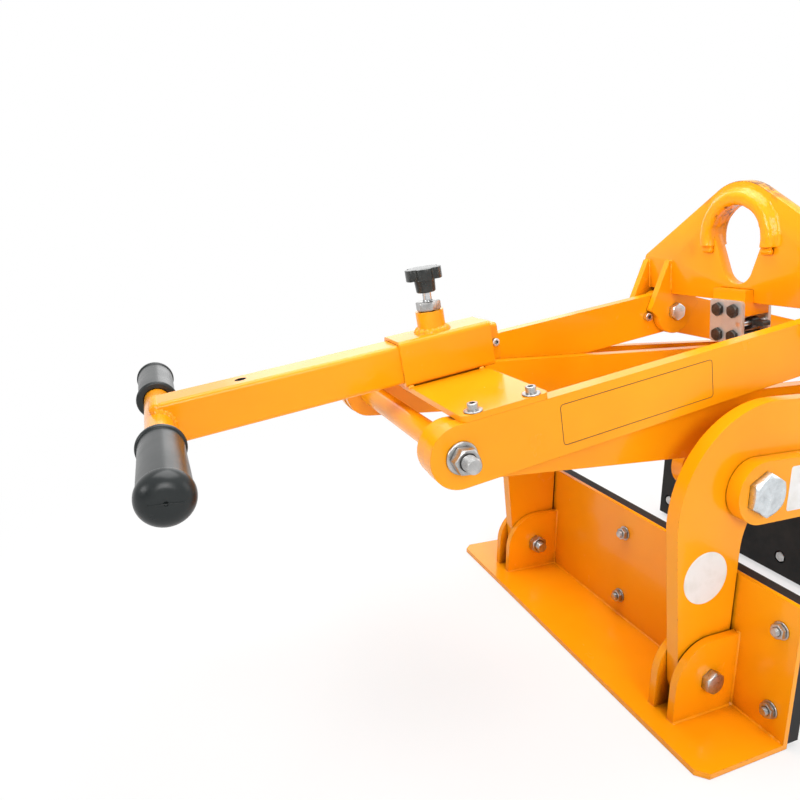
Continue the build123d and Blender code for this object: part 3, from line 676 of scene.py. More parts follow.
def boltPair(bolt, pin, headY, nutY):
    # On the near and the far side: a head, a shank, and a threaded end with its nut
    boltHead = hexSolid(bolt["flats"], bolt["head"], (1,))
    nut = hexSolid(bolt["flats"], bolt["nut"], (1, -1), bolt["bore"])
    shank = roundBar(bolt["d"], -abs(headY - nutY), barShape["bite"])
    end = threadedEnd(bolt["d"], bolt["nut"] + bolt["end"], bolt["pitch"])
    copies = []
    for side in sides:
        way = side if headY > nutY else -side
        headSeat = besidePin(pin, side * headY, way)
        nutSeat = besidePin(pin, side * nutY, -way)
        copies += [placed(boltHead, headSeat), placed(shank, headSeat), placed(nut, nutSeat),
                   placed(end, nutSeat)]
    discard(boltHead, nut, shank, end)
    return joinAll(copies)


def innerEarFace():
    # The face of the head's inner ears that looks to the middle
    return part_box("tie_left_far")[0].y - pinBolt["layerGap"] - pinBolt["earT"]


def makeHeadBolts():
    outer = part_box("lifting_plate")[1].y
    keepPiece(boltPair(pinBolt, pivotAt["head_pin"], innerEarFace(), outer), "headBolts", "head",
              finishes["zinc_steel"], ["head_bolts"])


def clevisFaces(hand):
    # The inner and outer faces of a grip's clevis ears
    low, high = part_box(f"lever_{hand}_far")
    gap, ear = clevisBolt["layerGap"], clevisBolt["earT"]
    return low.y - gap - ear, high.y + gap + clevisBolt["flangeT"] + ear


def makeClevisBolts(hand):
    inner, outer = clevisFaces(hand)
    keepPiece(boltPair(clevisBolt, pivotAt[f"grip_{hand}_pin"], outer, inner), f"clevisBolts{hand.title()}",
              f"grip_{hand}", dullFinish, [f"clevis_bolts_{hand}"])


def makePinRods(hand):
    # Rod through both tie bars, threaded where the nuts are
    p = pinBolt
    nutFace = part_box(f"pin_nuts_{hand}")[1].y - p["nut"]
    washerFace = nutFace - p["washerT"]
    rod = roundBar(p["d"], -washerFace, washerFace)
    end = threadedEnd(p["d"], p["washerT"] + p["nut"] + p["rodEnd"], p["pitch"])
    nut = hexSolid(p["flats"], p["nut"], (1, -1), p["bore"])
    washer = washerDisc(p["washerD"], p["bore"], p["washerT"])
    pin = pivotAt[f"tie_{hand}_pin"]
    rods = [placed(rod, besidePin(pin, 0, 1))]
    nuts = []
    for side in sides:
        seat = besidePin(pin, side * washerFace, side)
        rods.append(placed(end, seat))
        nutSeat = facing(pin + Vector((0, side * nutFace, 0)), (0, side, 0), p["nutTwist"])
        nuts += [placed(washer, seat), placed(nut, nutSeat)]
    discard(rod, end, nut, washer)
    body = f"tie_{hand}"
    keepPiece(joinAll(rods), f"pinRod{hand.title()}", body, dullFinish, [f"pin_rod_{hand}"])
    keepPiece(joinAll(nuts), f"pinNuts{hand.title()}", body, dullFinish, [f"pin_nuts_{hand}"])


padBolt = {
    "d": 0.012, "flats": 0.019, "head": 0.008, "nut": 0.0078, "pitch": 0.00175, "bore": 0.0121, "end": 0.005,
    "washerD": 0.025, "washerT": 0.0022, "edge": 0.027, "low": 0.045, "drop": 0.0445,
}
gripT = 0.008


def padFaces(hand):
    # How far the pad's face and its back, which lies on the grip plate, are from the middle
    low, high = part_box(f"pad_{hand}")
    return sorted((abs(low.x), abs(high.x)))


def makePadBolts(hand):
    # Bolt heads sunk in the pad, and nuts on washers on the plate's outer face
    p = padBolt
    way = hands[hand]
    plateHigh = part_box(f"grip_plate_{hand}")[1]
    padInner, padBack = padFaces(hand)
    plateFace = padBack + gripT
    headFoot = padInner + p["head"]
    boltHead = hexSolid(p["flats"], p["head"], (1,))
    nut = hexSolid(p["flats"], p["nut"], (1, -1), p["bore"])
    washer = washerDisc(p["washerD"], p["bore"], p["washerT"])
    shank = roundBar(p["d"], headFoot - plateFace, 0.0)
    end = threadedEnd(p["d"], p["washerT"] + p["nut"] + p["end"], p["pitch"])
    endY = plateHigh.y - p["edge"]
    copies = []
    for y in (-endY, 0.0, endY):
        for z in (p["low"], plateHigh.z - p["drop"]):
            seat = facing((way * plateFace, y, z), (way, 0, 0))
            nutSeat = facing((way * (plateFace + p["washerT"]), y, z), (way, 0, 0))
            headSeat = facing((way * headFoot, y, z), (-way, 0, 0))
            copies += [placed(washer, seat), placed(nut, nutSeat), placed(shank, seat), placed(end, seat),
                       placed(boltHead, headSeat)]
    discard(boltHead, nut, washer, shank, end)
    keepPiece(joinAll(copies), f"padBolts{hand.title()}", f"grip_{hand}", dullFinish,
              [f"pad_bolts_{hand}"])


# The head's sizes are taken upright from its pin; it then leans about the pin
head = {"lean": 6.6, "plateFoot": 0.045, "plateT": 0.020, "slotH": 0.056, "earT": 0.014, "coverX": 0.034,
        "eyeUp": 0.1466, "eyeR": 0.054, "collarW": 0.026, "collarLeg": 0.015}
headStand = Matrix.Translation(pivotAt["head_pin"]) @ Matrix.Rotation(math.radians(-head["lean"]), 4, "Y")
lockBolt = {"d": 0.010, "flats": 0.021, "head": 0.0064, "y": 0.017, "rows": (0.024, -0.021)}


def makeLockBolts():
    face = head["coverX"]
    boltHead = hexSolid(lockBolt["flats"], lockBolt["head"], (1,))
    shank = roundBar(lockBolt["d"], -2 * face, 0.0)
    copies = []
    for y in (-lockBolt["y"], lockBolt["y"]):
        for z in lockBolt["rows"]:
            copies.append(placed(shank, headStand @ facing((face, y, z), (1, 0, 0))))
            for way in (-1, 1):
                copies.append(placed(boltHead, headStand @ facing((way * face, y, z), (way, 0, 0))))
    discard(boltHead, shank)
    keepPiece(joinAll(copies), "lockBolts", "head", finishes["black_steel"], ["lock_bolts"])


carrier = {
    "tieH": 0.080, "plateT": 0.008, "start": 0.008, "length": 0.120, "edge": 0.020, "sleeve": 0.065,
    "sleeveStart": 0.003, "sleeveL": 0.140, "tube": 0.055, "bossD": 0.040, "bossH": 0.029,
    "plungerAt": 0.066, "hexFlats": 0.031, "hexH": 0.014,
}
# Heights above the tie bar's middle line
plateTop = carrier["tieH"] / 2 + carrier["plateT"]
sleeveMiddle = plateTop + carrier["sleeve"] / 2
sleeveTop = plateTop + carrier["sleeve"]
carrierScrew = {"d": 0.010, "headD": 0.0135, "headH": 0.0085, "socket": 0.0068, "deep": 0.0045,
                "washerD": 0.0235, "washerT": 0.002, "washerBore": 0.0102}


def makeCarrierScrews(hand):
    c = carrierScrew
    low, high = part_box(f"tie_{hand}_far")
    screwY = (low.y + high.y) / 2
    screw = socketScrew(c, c["washerT"])
    washer = washerDisc(c["washerD"], c["washerBore"], c["washerT"])
    up = tieFrame(hand)[2]
    plateEnd = carrier["start"] + carrier["length"]
    copies = []
    for along in (carrier["start"] + carrier["edge"], plateEnd - carrier["edge"]):
        for y in (-screwY, screwY):
            copies.append(placed(washer, facing(onTie(hand, along, plateTop, y), up)))
            copies.append(placed(screw, facing(onTie(hand, along, plateTop + c["washerT"], y), up)))
    discard(screw, washer)
    keepPiece(joinAll(copies), f"carrierScrews{hand.title()}", f"tie_{hand}", dullFinish,
              [f"carrier_screws_{hand}"])


stopScrew = {"d": 0.010, "headD": 0.016, "headH": 0.010, "socket": 0.008, "deep": 0.005, "fromHead": 0.059}


def makeStopScrews(hand):
    low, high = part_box(f"tie_{hand}_far")
    face, way = (low.y, -1) if hand == "left" else (high.y, 1)
    screw = socketScrew(stopScrew, high.y - low.y)
    place = pivotAt["head_pin"] - tieFrame(hand)[1] * stopScrew["fromHead"]
    copies = [placed(screw, besidePin(place, side * face, side * way)) for side in sides]
    discard(screw)
    keepPiece(joinAll(copies), f"stopScrews{hand.title()}", f"tie_{hand}", finishes["stainless_steel"],
              [f"stop_screws_{hand}"])


handleStop = {"d": 0.006, "headD": 0.0112, "headH": 0.005, "socket": 0.0055, "deep": 0.0032, "reach": 0.006}


def makeHandleStop(hand):
    # Button screw in the tube's near side, just past the sleeve's inner end
    screw = socketScrew(handleStop, handleStop["reach"])
    along = carrier["sleeveStart"] + carrier["sleeveL"] + handleStop["headD"] / 2
    screw.data.transform(facing(onTie(hand, along, sleeveMiddle, -carrier["tube"] / 2), (0, -1, 0)))
    keepPiece(screw, f"handleStop{hand.title()}", f"handle_{hand}", finishes["zinc_steel"],
              [f"handle_stop_{hand}"])


plunger = {
    "bore": 0.0131, "hexTurn": -3.5, "knobGap": 0.0122, "hubD": 0.0275, "hubTopD": 0.030, "hubH": 0.018,
    "hubIn": 0.002, "armD": 0.051, "armH": 0.0155, "arms": 5, "armSteps": 80, "dentR": 0.0075,
    "dentOut": 0.003, "dentSides": 40, "edge": 0.0011, "edgeAngle": 40,
}


def makePlunger(hand):
    k = plunger
    hexFoot = sleeveTop + carrier["bossH"]
    body = hexSolid(carrier["hexFlats"], carrier["hexH"], (1, -1), k["bore"])
    turn = Matrix.Rotation(math.radians(k["hexTurn"]), 4, "Z")
    body.data.transform(onTieTop(hand, carrier["plungerAt"], hexFoot) @ turn)
    keepPiece(body, f"plungerBody{hand.title()}", f"tie_{hand}", dullFinish,
              [f"plunger_body_{hand}"])

    # Star of arms with flat ends, on a hub that widens upwards
    foot, top = k["hubH"], k["hubH"] + k["armH"]
    star = turned([(0, foot), (k["armD"] / 2, foot), (k["armD"] / 2, top), (0, top)], k["armSteps"])
    reach = k["armD"] / 2 + k["dentOut"]
    for arm in range(k["arms"]):
        angle = 2 * math.pi * arm / k["arms"]
        dentAt = (reach * math.cos(angle), reach * math.sin(angle), foot + k["armH"] / 2)
        cutBy(star, cylinder(k["dentSides"], k["dentR"], 2 * k["armH"], dentAt), "DIFFERENCE")
    softenEdges(star, k["edge"], 3, k["edgeAngle"])
    hubTop = foot + k["hubIn"]
    hub = turned([(0, 0), (k["hubD"] / 2 - k["edge"], 0), (k["hubD"] / 2, k["edge"]),
                  (k["hubTopD"] / 2, hubTop), (0, hubTop)])
    knob = joinAll([hub, star])
    knob.data.transform(onTieTop(hand, carrier["plungerAt"], hexFoot + carrier["hexH"] + k["knobGap"]))
    keepPiece(knob, f"plungerKnob{hand.title()}", f"plunger_{hand}", finishes["black_plastic"],
              [f"plunger_knob_{hand}"])


holeShadeLiner = {"d": 0.015, "wall": 0.003, "lining": 0.0004, "travel": 0.272, "steps": 40}


def makeHoleShadeLiners(hand):
    # Painted shade: a thin dark steel lining in the tube's drilled index holes, standing in for the shade
    # inside them
    r = holeShadeLiner
    outer = r["d"] / 2
    inner = outer - r["lining"]
    rim = turned([(inner, 0), (outer, 0), (outer, r["wall"]), (inner, r["wall"]), (inner, 0)], r["steps"])
    foot = sleeveMiddle + carrier["tube"] / 2 - r["wall"]
    copies = [placed(rim, onTieTop(hand, carrier["plungerAt"] - travel, foot))
              for travel in (0, r["travel"])]
    discard(rim)
    keepPiece(joinAll(copies), f"indexHoleShadeLiners{hand.title()}", f"handle_{hand}", finishes["black_steel"])


makePivotBolts()
makeHeadBolts()
makeLockBolts()
for hand in hands:
    makePinRods(hand)
    makeClevisBolts(hand)
    makePadBolts(hand)
    makeCarrierScrews(hand)
    makeStopScrews(hand)
    makeHandleStop(hand)
    makePlunger(hand)
    makeHoleShadeLiners(hand)
print("fasteners made")


# Rubber handle grips: rolled lip, waisted body, bulb with a mould seam and a vent dimple

gripShape = {
    "barAt": 0.312, "barHalf": 0.260, "barD": 0.034, "length": 0.172, "cap": 0.024, "boreEdge": 0.0015,
    "lipD": 0.054, "lipT": 0.009, "lipRound": 0.0035, "neckD": 0.0488, "neckAt": 0.016, "bodyEndD": 0.0503,
    "ridgeAt": 0.150, "ridgeT": 0.003, "bulbD": 0.054, "bulbRound": 0.0165, "dimpleD": 0.006,
    "dimpleUp": 0.0012, "seamT": 0.0007, "seamUp": 0.0004, "seamDeep": 0.001, "seamShare": 0.7,
    "seamEdge": 0.00025, "flareSteps": 10, "steps": 64, "lipSweep": 75, "ridgeFrom": -60, "bulbSweep": 84,
    "dimpleFrom": -36,
}


def gripProfile():
    g = gripShape
    lipMiddle = g["lipD"] / 2 - g["lipRound"]
    lip = arcPoints((lipMiddle, g["lipRound"]), g["lipRound"], -90, 0, 5)
    lipEnd = arcPoints((lipMiddle, g["lipT"] - g["lipRound"]), g["lipRound"], 0, g["lipSweep"], 5)
    flare = []
    for step in range(g["flareSteps"] + 1):
        share = step / g["flareSteps"]
        swell = share * share * (3 - 2 * share)
        flare.append((g["neckD"] / 2 + (g["bodyEndD"] - g["neckD"]) / 2 * swell,
                      g["neckAt"] + (g["ridgeAt"] - g["neckAt"]) * share))
    ridgeMiddle = (g["bulbD"] / 2 - g["ridgeT"], g["ridgeAt"] + g["ridgeT"])
    ridge = arcPoints(ridgeMiddle, g["ridgeT"], g["ridgeFrom"], 0, 4)
    bulbMiddle = (g["bulbD"] / 2 - g["bulbRound"], g["length"] - g["bulbRound"])
    bulb = arcPoints(bulbMiddle, g["bulbRound"], 0, g["bulbSweep"], 10)
    dimpleMiddle = (0, g["length"] + g["dimpleUp"])
    dimple = arcPoints(dimpleMiddle, g["dimpleD"] / 2, g["dimpleFrom"], -90, 4)
    bore = g["barD"] / 2
    boreEnd = g["length"] - g["cap"]
    return [(0, boreEnd), (bore, boreEnd), (bore, g["boreEdge"]), (bore + g["boreEdge"], 0), *lip, *lipEnd,
            *flare, *ridge, *bulb, *dimple]


def makeHandleGrips(hand):
    g = gripShape
    grip = turned(gripProfile(), g["steps"])
    # The mould seam is a thin fin across the end face
    freshStart()
    bpy.ops.mesh.primitive_cube_add(size=1, location=(0, 0, g["length"] - g["seamDeep"] / 2))
    seam = bpy.context.object
    seamL = g["bulbD"] - 2 * g["bulbRound"] * g["seamShare"]
    bpy.ops.transform.resize(value=(seamL, g["seamT"], g["seamDeep"] + 2 * g["seamUp"]))
    settle(seam)
    applyModifier(seam, "BEVEL", width=g["seamEdge"], segments=2)
    copies = []
    for way in (-1, 1):
        foot = onTie(hand, -g["barAt"], sleeveMiddle, way * (g["barHalf"] + g["cap"] - g["length"]))
        copies += [placed(grip, facing(foot, (0, way, 0))), placed(seam, facing(foot, (0, way, 0)))]
    discard(grip, seam)
    keepPiece(joinAll(copies), f"handleGrips{hand.title()}", f"handle_{hand}", gripFinish,
              [f"handle_grips_{hand}"])


for hand in hands:
    makeHandleGrips(hand)
print("handle grips made")


# Weld beads, painted over: a row of overlapping scales along a line, fused into one skin

weld = {"scaleShare": 0.5, "spacingShare": 0.55, "segments": 12, "rings": 8, "voxel": 0.0011,
        "roughUp": 0.0013, "roughSize": 0.009, "smooth": 2}


def weldRun(points, radius, closed=False, sink=(0, 0, 0)):
    # The sink moves the run into its corner, so that only a broad fillet stands out
    points = [Vector(point) + Vector(sink) for point in points]
    path = drawLine([*points, points[0]] if closed else points)
    if closed:
        startEdit(path)
        mergeDoubles()
    pick(path)
    bpy.ops.object.convert(target="CURVE")
    path = bpy.context.object
    freshStart()
    bpy.ops.mesh.primitive_uv_sphere_add(segments=weld["segments"], ring_count=weld["rings"], radius=radius)
    bead = bpy.context.object
    bpy.ops.transform.resize(value=(weld["scaleShare"], 1, 1))
    settle(bead)
    applyModifier(bead, "ARRAY", fit_type="FIT_CURVE", curve=path, use_relative_offset=False,
                  use_constant_offset=True, constant_offset_displace=(radius * weld["spacingShare"], 0, 0))
    applyModifier(bead, "CURVE", object=path, deform_axis="POS_X")
    discard(path)
    return bead


def fuseSkin(piece, name, skin):
    # Fuses overlapping scales into one uneven skin
    applyModifier(piece, "REMESH", mode="VOXEL", voxel_size=skin["voxel"])
    lumps = bpy.data.textures.new(name + "Lumps", "CLOUDS")
    lumps.noise_scale = skin["roughSize"]
    applyModifier(piece, "DISPLACE", texture=lumps, strength=skin["roughUp"], mid_level=0.5)
    applyModifier(piece, "SMOOTH", iterations=skin["smooth"])


def makeWelds(name, body, runs, planes=(), tool=None):
    piece = joinAll([weldRun(*run) for run in runs])
    fuseSkin(piece, name, weld)
    for point, normal in planes:
        trimBy(piece, point, normal)
    if tool:
        cutBy(piece, tool, "DIFFERENCE")
    keepPiece(piece, name, body, finishes["orange_paint"], smoothAngle=180)


def ringPoints(centre, first, second, radius, start=0.0, end=360.0, count=24):
    last = count if end - start < 360 else count - 1
    angles = [math.radians(start + (end - start) * step / count) for step in range(last + 1)]
    return [centre + first * radius * math.cos(a) + second * radius * math.sin(a) for a in angles]


carrierWeld = {"bossBead": 0.0115, "bossSink": 0.0035, "tackBead": 0.0034, "tackL": 0.007, "tackIn": 0.004,
               "skin": 0.0025, "clear": 0.020}


def carrierRuns(hand):
    # Round the boss's foot, and tacks at the ends of the sleeve's sides
    c, w = carrier, carrierWeld
    along, up = tieFrame(hand)[1:]
    bossFoot = onTie(hand, c["plungerAt"], sleeveTop)
    bossRing = ringPoints(bossFoot, along, Vector((0, 1, 0)), c["bossD"] / 2 - w["bossSink"])
    runs = [(bossRing, w["bossBead"], True, up * -w["bossSink"])]
    for side in sides:
        for start in (c["sleeveStart"] + w["tackIn"], c["start"] + c["length"] - w["tackIn"] - w["tackL"]):
            ends = [onTie(hand, at, plateTop, side * c["sleeve"] / 2) for at in (start, start + w["tackL"])]
            runs.append((linePoints(*ends, 4), w["tackBead"]))
    return runs


def carrierTool(hand):
    # Clears the boss's bore and the inside of the sleeve
    w = carrierWeld
    bore = carrier["bossD"] / 2 - w["skin"]
    wide = carrier["bossD"] / 2 + w["bossBead"]
    tool = turned([(0, -w["clear"]), (wide, -w["clear"]), (wide, -w["skin"]), (bore, -w["skin"]),
                   (bore, w["clear"]), (0, w["clear"])])
    tool.data.transform(onTieTop(hand, carrier["plungerAt"], sleeveTop))
    return tool


handleWeld = {"bead": 0.0085, "sideBead": 0.008, "sink": 0.004, "round": 0.004, "ahead": 0.001,
              "lift": 0.003, "ringIn": 0.002, "arc": 100}


def handleRuns(hand):
    # Round the tube's end, where it meets the cross bar
    g, w = gripShape, handleWeld
    half = carrier["tube"] / 2 - w["round"]
    along, up = tieFrame(hand)[1:]
    runs = []
    for way in (-1, 1):
        height = sleeveMiddle + way * (g["barD"] / 2 + w["lift"])
        span = linePoints(onTie(hand, w["ahead"] - g["barAt"], height, -half),
                          onTie(hand, w["ahead"] - g["barAt"], height, half), 8)
        runs.append((span, w["bead"]))
        corner = onTie(hand, -g["barAt"], sleeveMiddle, way * carrier["tube"] / 2)
        ring = ringPoints(corner, along, up, g["barD"] / 2 - w["ringIn"], -w["arc"], w["arc"], 14)
        runs.append((ring, w["sideBead"], False, (0, -way * w["sink"], 0)))
    return runs


headWeld = {"earBead": 0.0058, "sink": 0.0028}


def headRuns():
    # Along the ears' slots
    w = headWeld
    ear = head["earT"]
    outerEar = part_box("lifting_plate")[1].y - ear
    innerEar = innerEarFace()
    foot = head["plateFoot"]
    slotTop = foot + head["slotH"]
    runs = []
    for way in (-1, 1):
        face = way * head["plateT"] / 2
        for side in sides:
            for y, inward in ((innerEar, 1), (innerEar + ear, -1), (outerEar, 1)):
                runs.append((linePoints((face, side * y, foot), (face, side * y, slotTop), 6),
                             Vector((-way, side * inward, 0))))
            for y in (innerEar, outerEar):
                runs.append((linePoints((face, side * y, slotTop), (face, side * (y + ear), slotTop), 4),
                             Vector((-way, 0, -1))))
    lean = headStand.to_3x3()
    return [([headStand @ point for point in points], w["earBead"], False, lean @ inward * w["sink"])
            for points, inward in runs]


gripWeld = {"bead": 0.0062, "sink": 0.003, "earTop": 0.124, "earFoot": 0.111, "skin": 0.001}


def gripRuns(hand):
    # Along the plate and the flange on the open sides of the clevis ears, and down the plate's inner corner
    w = gripWeld
    way = hands[hand]
    face = padFaces(hand)[1] + gripT
    runs = []
    for side in sides:
        for y, inward in zip(clevisFaces(hand), (1, -1)):
            corner = (way * face, side * y, gripT)
            up = linePoints(corner, (way * face, side * y, w["earTop"]), 10)
            out = linePoints(corner, (way * (face + w["earFoot"]), side * y, gripT), 10)
            runs.append((up, w["bead"], False, Vector((-way, side * inward, 0)) * w["sink"]))
            runs.append((out, w["bead"], False, Vector((0, side * inward, -1)) * w["sink"]))
    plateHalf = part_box(f"grip_plate_{hand}")[1].y - w["bead"]
    inside = linePoints((way * face, -plateHalf, gripT), (way * face, plateHalf, gripT), 40)
    runs.append((inside, w["bead"], False, Vector((-way, 0, -1)) * w["sink"]))
    return runs


def gripPlanes(hand):
    # The underside of the flange and the plate's face behind the pad
    skin = gripWeld["skin"]
    way = hands[hand]
    return [((0, 0, skin), (0, 0, -1)), ((way * (padFaces(hand)[1] + skin), 0, 0), (-way, 0, 0))]


frameWeld = {"bead": 0.0045, "barW": 0.020, "barT": 0.016}


def frameRuns():
    # Round the cross beam's ends and the lock bar's foot
    w = frameWeld
    low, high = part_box("cross_beam")
    runs = []
    for side in sides:
        y = side * high.y
        corners = [(-high.x, y, low.z), (high.x, y, low.z), (high.x, y, high.z), (-high.x, y, high.z)]
        loop = []
        for start, end in zip(corners, corners[1:] + corners[:1]):
            loop += linePoints(start, end, 6)[:-1]
        runs.append((loop, w["bead"], True))
    foot = [(x * w["barT"] / 2, y * w["barW"] / 2, high.z) for x, y in ((-1, -1), (1, -1), (1, 1), (-1, 1))]
    runs.append((foot, w["bead"], True))
    return runs


plate = {
    "half": 0.239, "rise": 0.211, "shoulder": 0.0644, "belly": 0.009, "topRound": 0.090,
    "cornerRound": 0.012, "innerSlot": 0.1625, "outerSlot": 0.225, "notchHalf": 0.036, "notchH": 0.014,
    "eyeFrom": 2.8, "lowR": 0.0319, "lowDown": 0.048, "taper": 21.3, "edge": 0.0012, "edgeAngle": 50,
}


def roundedCorner(before, corner, after, radius, count):
    # Points of an arc that rounds a corner of an outline
    corner = Vector(corner)
    back = (Vector(before) - corner).normalized()
    ahead = (Vector(after) - corner).normalized()
    half = back.angle(ahead) / 2
    middle = corner + (back + ahead).normalized() * radius / math.sin(half)
    first = corner + back * radius / math.tan(half) - middle
    last = corner + ahead * radius / math.tan(half) - middle
    return [middle + first.lerp(last, step / count).normalized() * radius for step in range(count + 1)]


def makeLiftingPlate():
    p = plate
    foot = head["plateFoot"]
    slotTop = foot + head["slotH"]
    belly = foot - p["belly"]
    apex = (0, foot + p["rise"])
    shoulder = (p["half"], foot + p["shoulder"])
    innerEnd = p["innerSlot"] + head["earT"]
    half = [(p["notchHalf"], foot + p["notchH"]), (p["notchHalf"], belly), (p["innerSlot"], belly),
            (p["innerSlot"], slotTop), (innerEnd, slotTop), (innerEnd, foot), (p["outerSlot"], foot),
            (p["outerSlot"], slotTop), (p["half"], slotTop),
            *roundedCorner((p["half"], slotTop), shoulder, apex, p["cornerRound"], 8)]
    top = roundedCorner(shoulder, apex, (-shoulder[0], shoulder[1]), p["topRound"], 24)
    piece = slab([*half, *top, *[(-y, z) for y, z in reversed(half)]], head["plateT"])
    low = (0, head["eyeUp"] - p["lowDown"])
    hole = [*arcPoints((0, head["eyeUp"]), head["eyeR"], p["eyeFrom"], 180 - p["eyeFrom"], 48),
            *arcPoints(low, p["lowR"], 180 + p["taper"], 360 - p["taper"], 24)]
    cutBy(piece, slab(hole, 2 * head["plateT"]), "DIFFERENCE")
    softenEdges(piece, p["edge"], 2, p["edgeAngle"])
    piece.data.transform(headStand)
    keepPiece(piece, "liftingPlate", "head", wornFinish, ["lifting_plate"], smoothAngle=25)


collar = {
    "top": 0.025, "foot": 0.007, "innerRound": 0.010, "outerRound": 0.012, "flare": 0.0075, "toeUp": 0.0098,
    "stubBead": 0.0058, "stubDrop": 0.0070, "stubOut": 0.0045, "stubIn": 0.002, "stubL": 0.016, "steps": 96,
    "sideLean": 20, "voxel": 0.0011, "roughUp": 0.0016, "roughSize": 0.012, "smooth": 3,
}


def makeEyeCollars():
    # A round-backed band welded over the eye on both faces, rough, with torn stubs under its ends
    c = collar
    inner = head["eyeR"]
    outer = inner + head["collarW"]
    toe = outer + c["flare"]
    innerBack = (inner + c["innerRound"], c["top"] - c["innerRound"])
    outerBack = (outer - c["outerRound"], c["top"] - c["outerRound"])
    toeBack = (toe, c["toeUp"] + c["flare"])
    band = turned([(inner, c["foot"]), *arcPoints(innerBack, c["innerRound"], 180, 90, 8),
                   *arcPoints(outerBack, c["outerRound"], 90, c["sideLean"], 8),
                   *arcPoints(toeBack, c["flare"], 180 + c["sideLean"], 270, 6), (toe, c["foot"]),
                   (inner, c["foot"])], c["steps"])
    legFoot = head["eyeUp"] - head["collarLeg"]
    stubY = inner + c["stubIn"]
    stubZ = legFoot - c["stubDrop"]
    copies = []
    for way in (-1, 1):
        ring = placed(band, facing((0, 0, head["eyeUp"]), (way, 0, 0)))
        trimBy(ring, (0, 0, legFoot), (0, 0, -1))
        copies.append(ring)
        stubX = way * (head["plateT"] / 2 + c["stubOut"])
        for side in sides:
            stub = linePoints((stubX, side * stubY, stubZ), (stubX, side * (stubY + c["stubL"]), stubZ), 5)
            copies.append(weldRun(stub, c["stubBead"]))
    discard(band)
    piece = joinAll(copies)
    fuseSkin(piece, "eyeCollars", c)
    piece.data.transform(headStand)
    keepPiece(piece, "eyeCollars", "head", wornFinish, ["eye_collars"], smoothAngle=180)


makeLiftingPlate()
makeEyeCollars()
makeWelds("headWelds", "head", headRuns())
makeWelds("frameWelds", "pivot_frame", frameRuns())
for hand in hands:
    makeWelds(f"carrierWelds{hand.title()}", f"tie_{hand}", carrierRuns(hand), tool=carrierTool(hand))
    makeWelds(f"handleWelds{hand.title()}", f"handle_{hand}", handleRuns(hand))
    makeWelds(f"gripWelds{hand.title()}", f"grip_{hand}", gripRuns(hand), gripPlanes(hand))
print("lifting plate, eye collars and weld beads made")


# Bare label places: an outline on the near tie bar, a round blank on the near leg, a blank on the near link

labels = {
    "outlineStart": 0.140, "outlineL": 0.247, "outlineH": 0.0545, "outlineUp": 0.0003,
    "outlineCorner": 0.005, "lineW": 0.0007, "film": 0.0003, "discD": 0.078, "discX": -0.281,
    "discZ": 0.216, "discSides": 64,
    "linkStart": 0.048, "linkL": 0.064, "linkH": 0.066, "linkCorner": 0.004,
}


def flatLabel(width, height, corner):
    # A rounded sheet in the XY plane
    freshStart()
    bpy.ops.mesh.primitive_plane_add(size=1)
    sheet = bpy.context.object
    bpy.ops.transform.resize(value=(width, height, 1))
    startEdit(settle(sheet))
    bpy.ops.mesh.bevel(affect="VERTICES", offset=corner, segments=6)
    bpy.ops.object.mode_set(mode="OBJECT")
    return sheet


def layOnNearFace(sheet, node, point, along):
    # Gives a sheet its film and lays it on a node's near face, with its x axis along the plate
    applyModifier(sheet, "SOLIDIFY", thickness=labels["film"], offset=1)
    forward = Vector(along).normalized()
    outward = Vector((0, -1, 0))
    turn = Matrix((forward, outward.cross(forward), outward)).transposed().to_4x4()
    sheet.data.transform(Matrix.Translation((point.x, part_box(node)[0].y, point.z)) @ turn)


def makeLabels():
    n = labels
    outline = flatLabel(n["outlineL"], n["outlineH"], n["outlineCorner"])
    startEdit(outline)
    bpy.ops.mesh.inset(thickness=n["lineW"])
    bpy.ops.mesh.delete(type="FACE")
    bpy.ops.object.mode_set(mode="OBJECT")
    middle = onTie("left", n["outlineStart"] + n["outlineL"] / 2, n["outlineUp"])
    layOnNearFace(outline, "tie_left_near", middle, tieFrame("left")[1])
    keepPiece(outline, "labelOutline", "tie_left", inkVinyl)

    freshStart()
    bpy.ops.mesh.primitive_circle_add(vertices=n["discSides"], radius=n["discD"] / 2, fill_type="NGON")
    disc = bpy.context.object
    layOnNearFace(disc, "lever_left_near", Vector((n["discX"], 0, n["discZ"])), (1, 0, 0))
    keepPiece(disc, "blankDisc", "lever_left", blankVinyl)

    blank = flatLabel(n["linkL"], n["linkH"], n["linkCorner"])
    middle = pivotAt["scissor_left"] + Vector((n["linkStart"] + n["linkL"] / 2, 0, 0))
    layOnNearFace(blank, "outer_link_near", middle, (1, 0, 0))
    keepPiece(blank, "blankLabel", "pivot_frame", blankVinyl)


makeLabels()
print("label places made")


# Stage: pale floor, soft studio light and the camera

stage = {
    "floorSize": 16.0, "floorDrop": 0.0005, "floorGrey": (0.85, 0.86), "shadeScale": 1.5,
    "floorRoughness": 0.9, "floorSpecular": 0.1, "nearWhite": 0.62, "fade": (0.7, 1.7), "worldFill": 0.4,
    "brightSide": (0.60, 0.40, 0.69), "dimSpan": (-0.9, 0.5), "dimTone": 0.36,
}


def mixShaders(tree, factor, first, second, output):
    mix = addNode(tree, "ShaderNodeMixShader")
    tree.links.new(factor, mix.inputs["Fac"])
    tree.links.new(first, mix.inputs[1])
    tree.links.new(second, mix.inputs[2])
    tree.links.new(mix.outputs["Shader"], tree.nodes[output].inputs["Surface"])


def addSeen(tree, light, glossy):
    # 1 for rays that should meet plain white: the camera's, mirrored ones and those through a surface
    seen = addMath(tree, "MAXIMUM", light.outputs["Is Camera Ray"], glossy)
    return addMath(tree, "MAXIMUM", seen, light.outputs["Is Transmission Ray"])


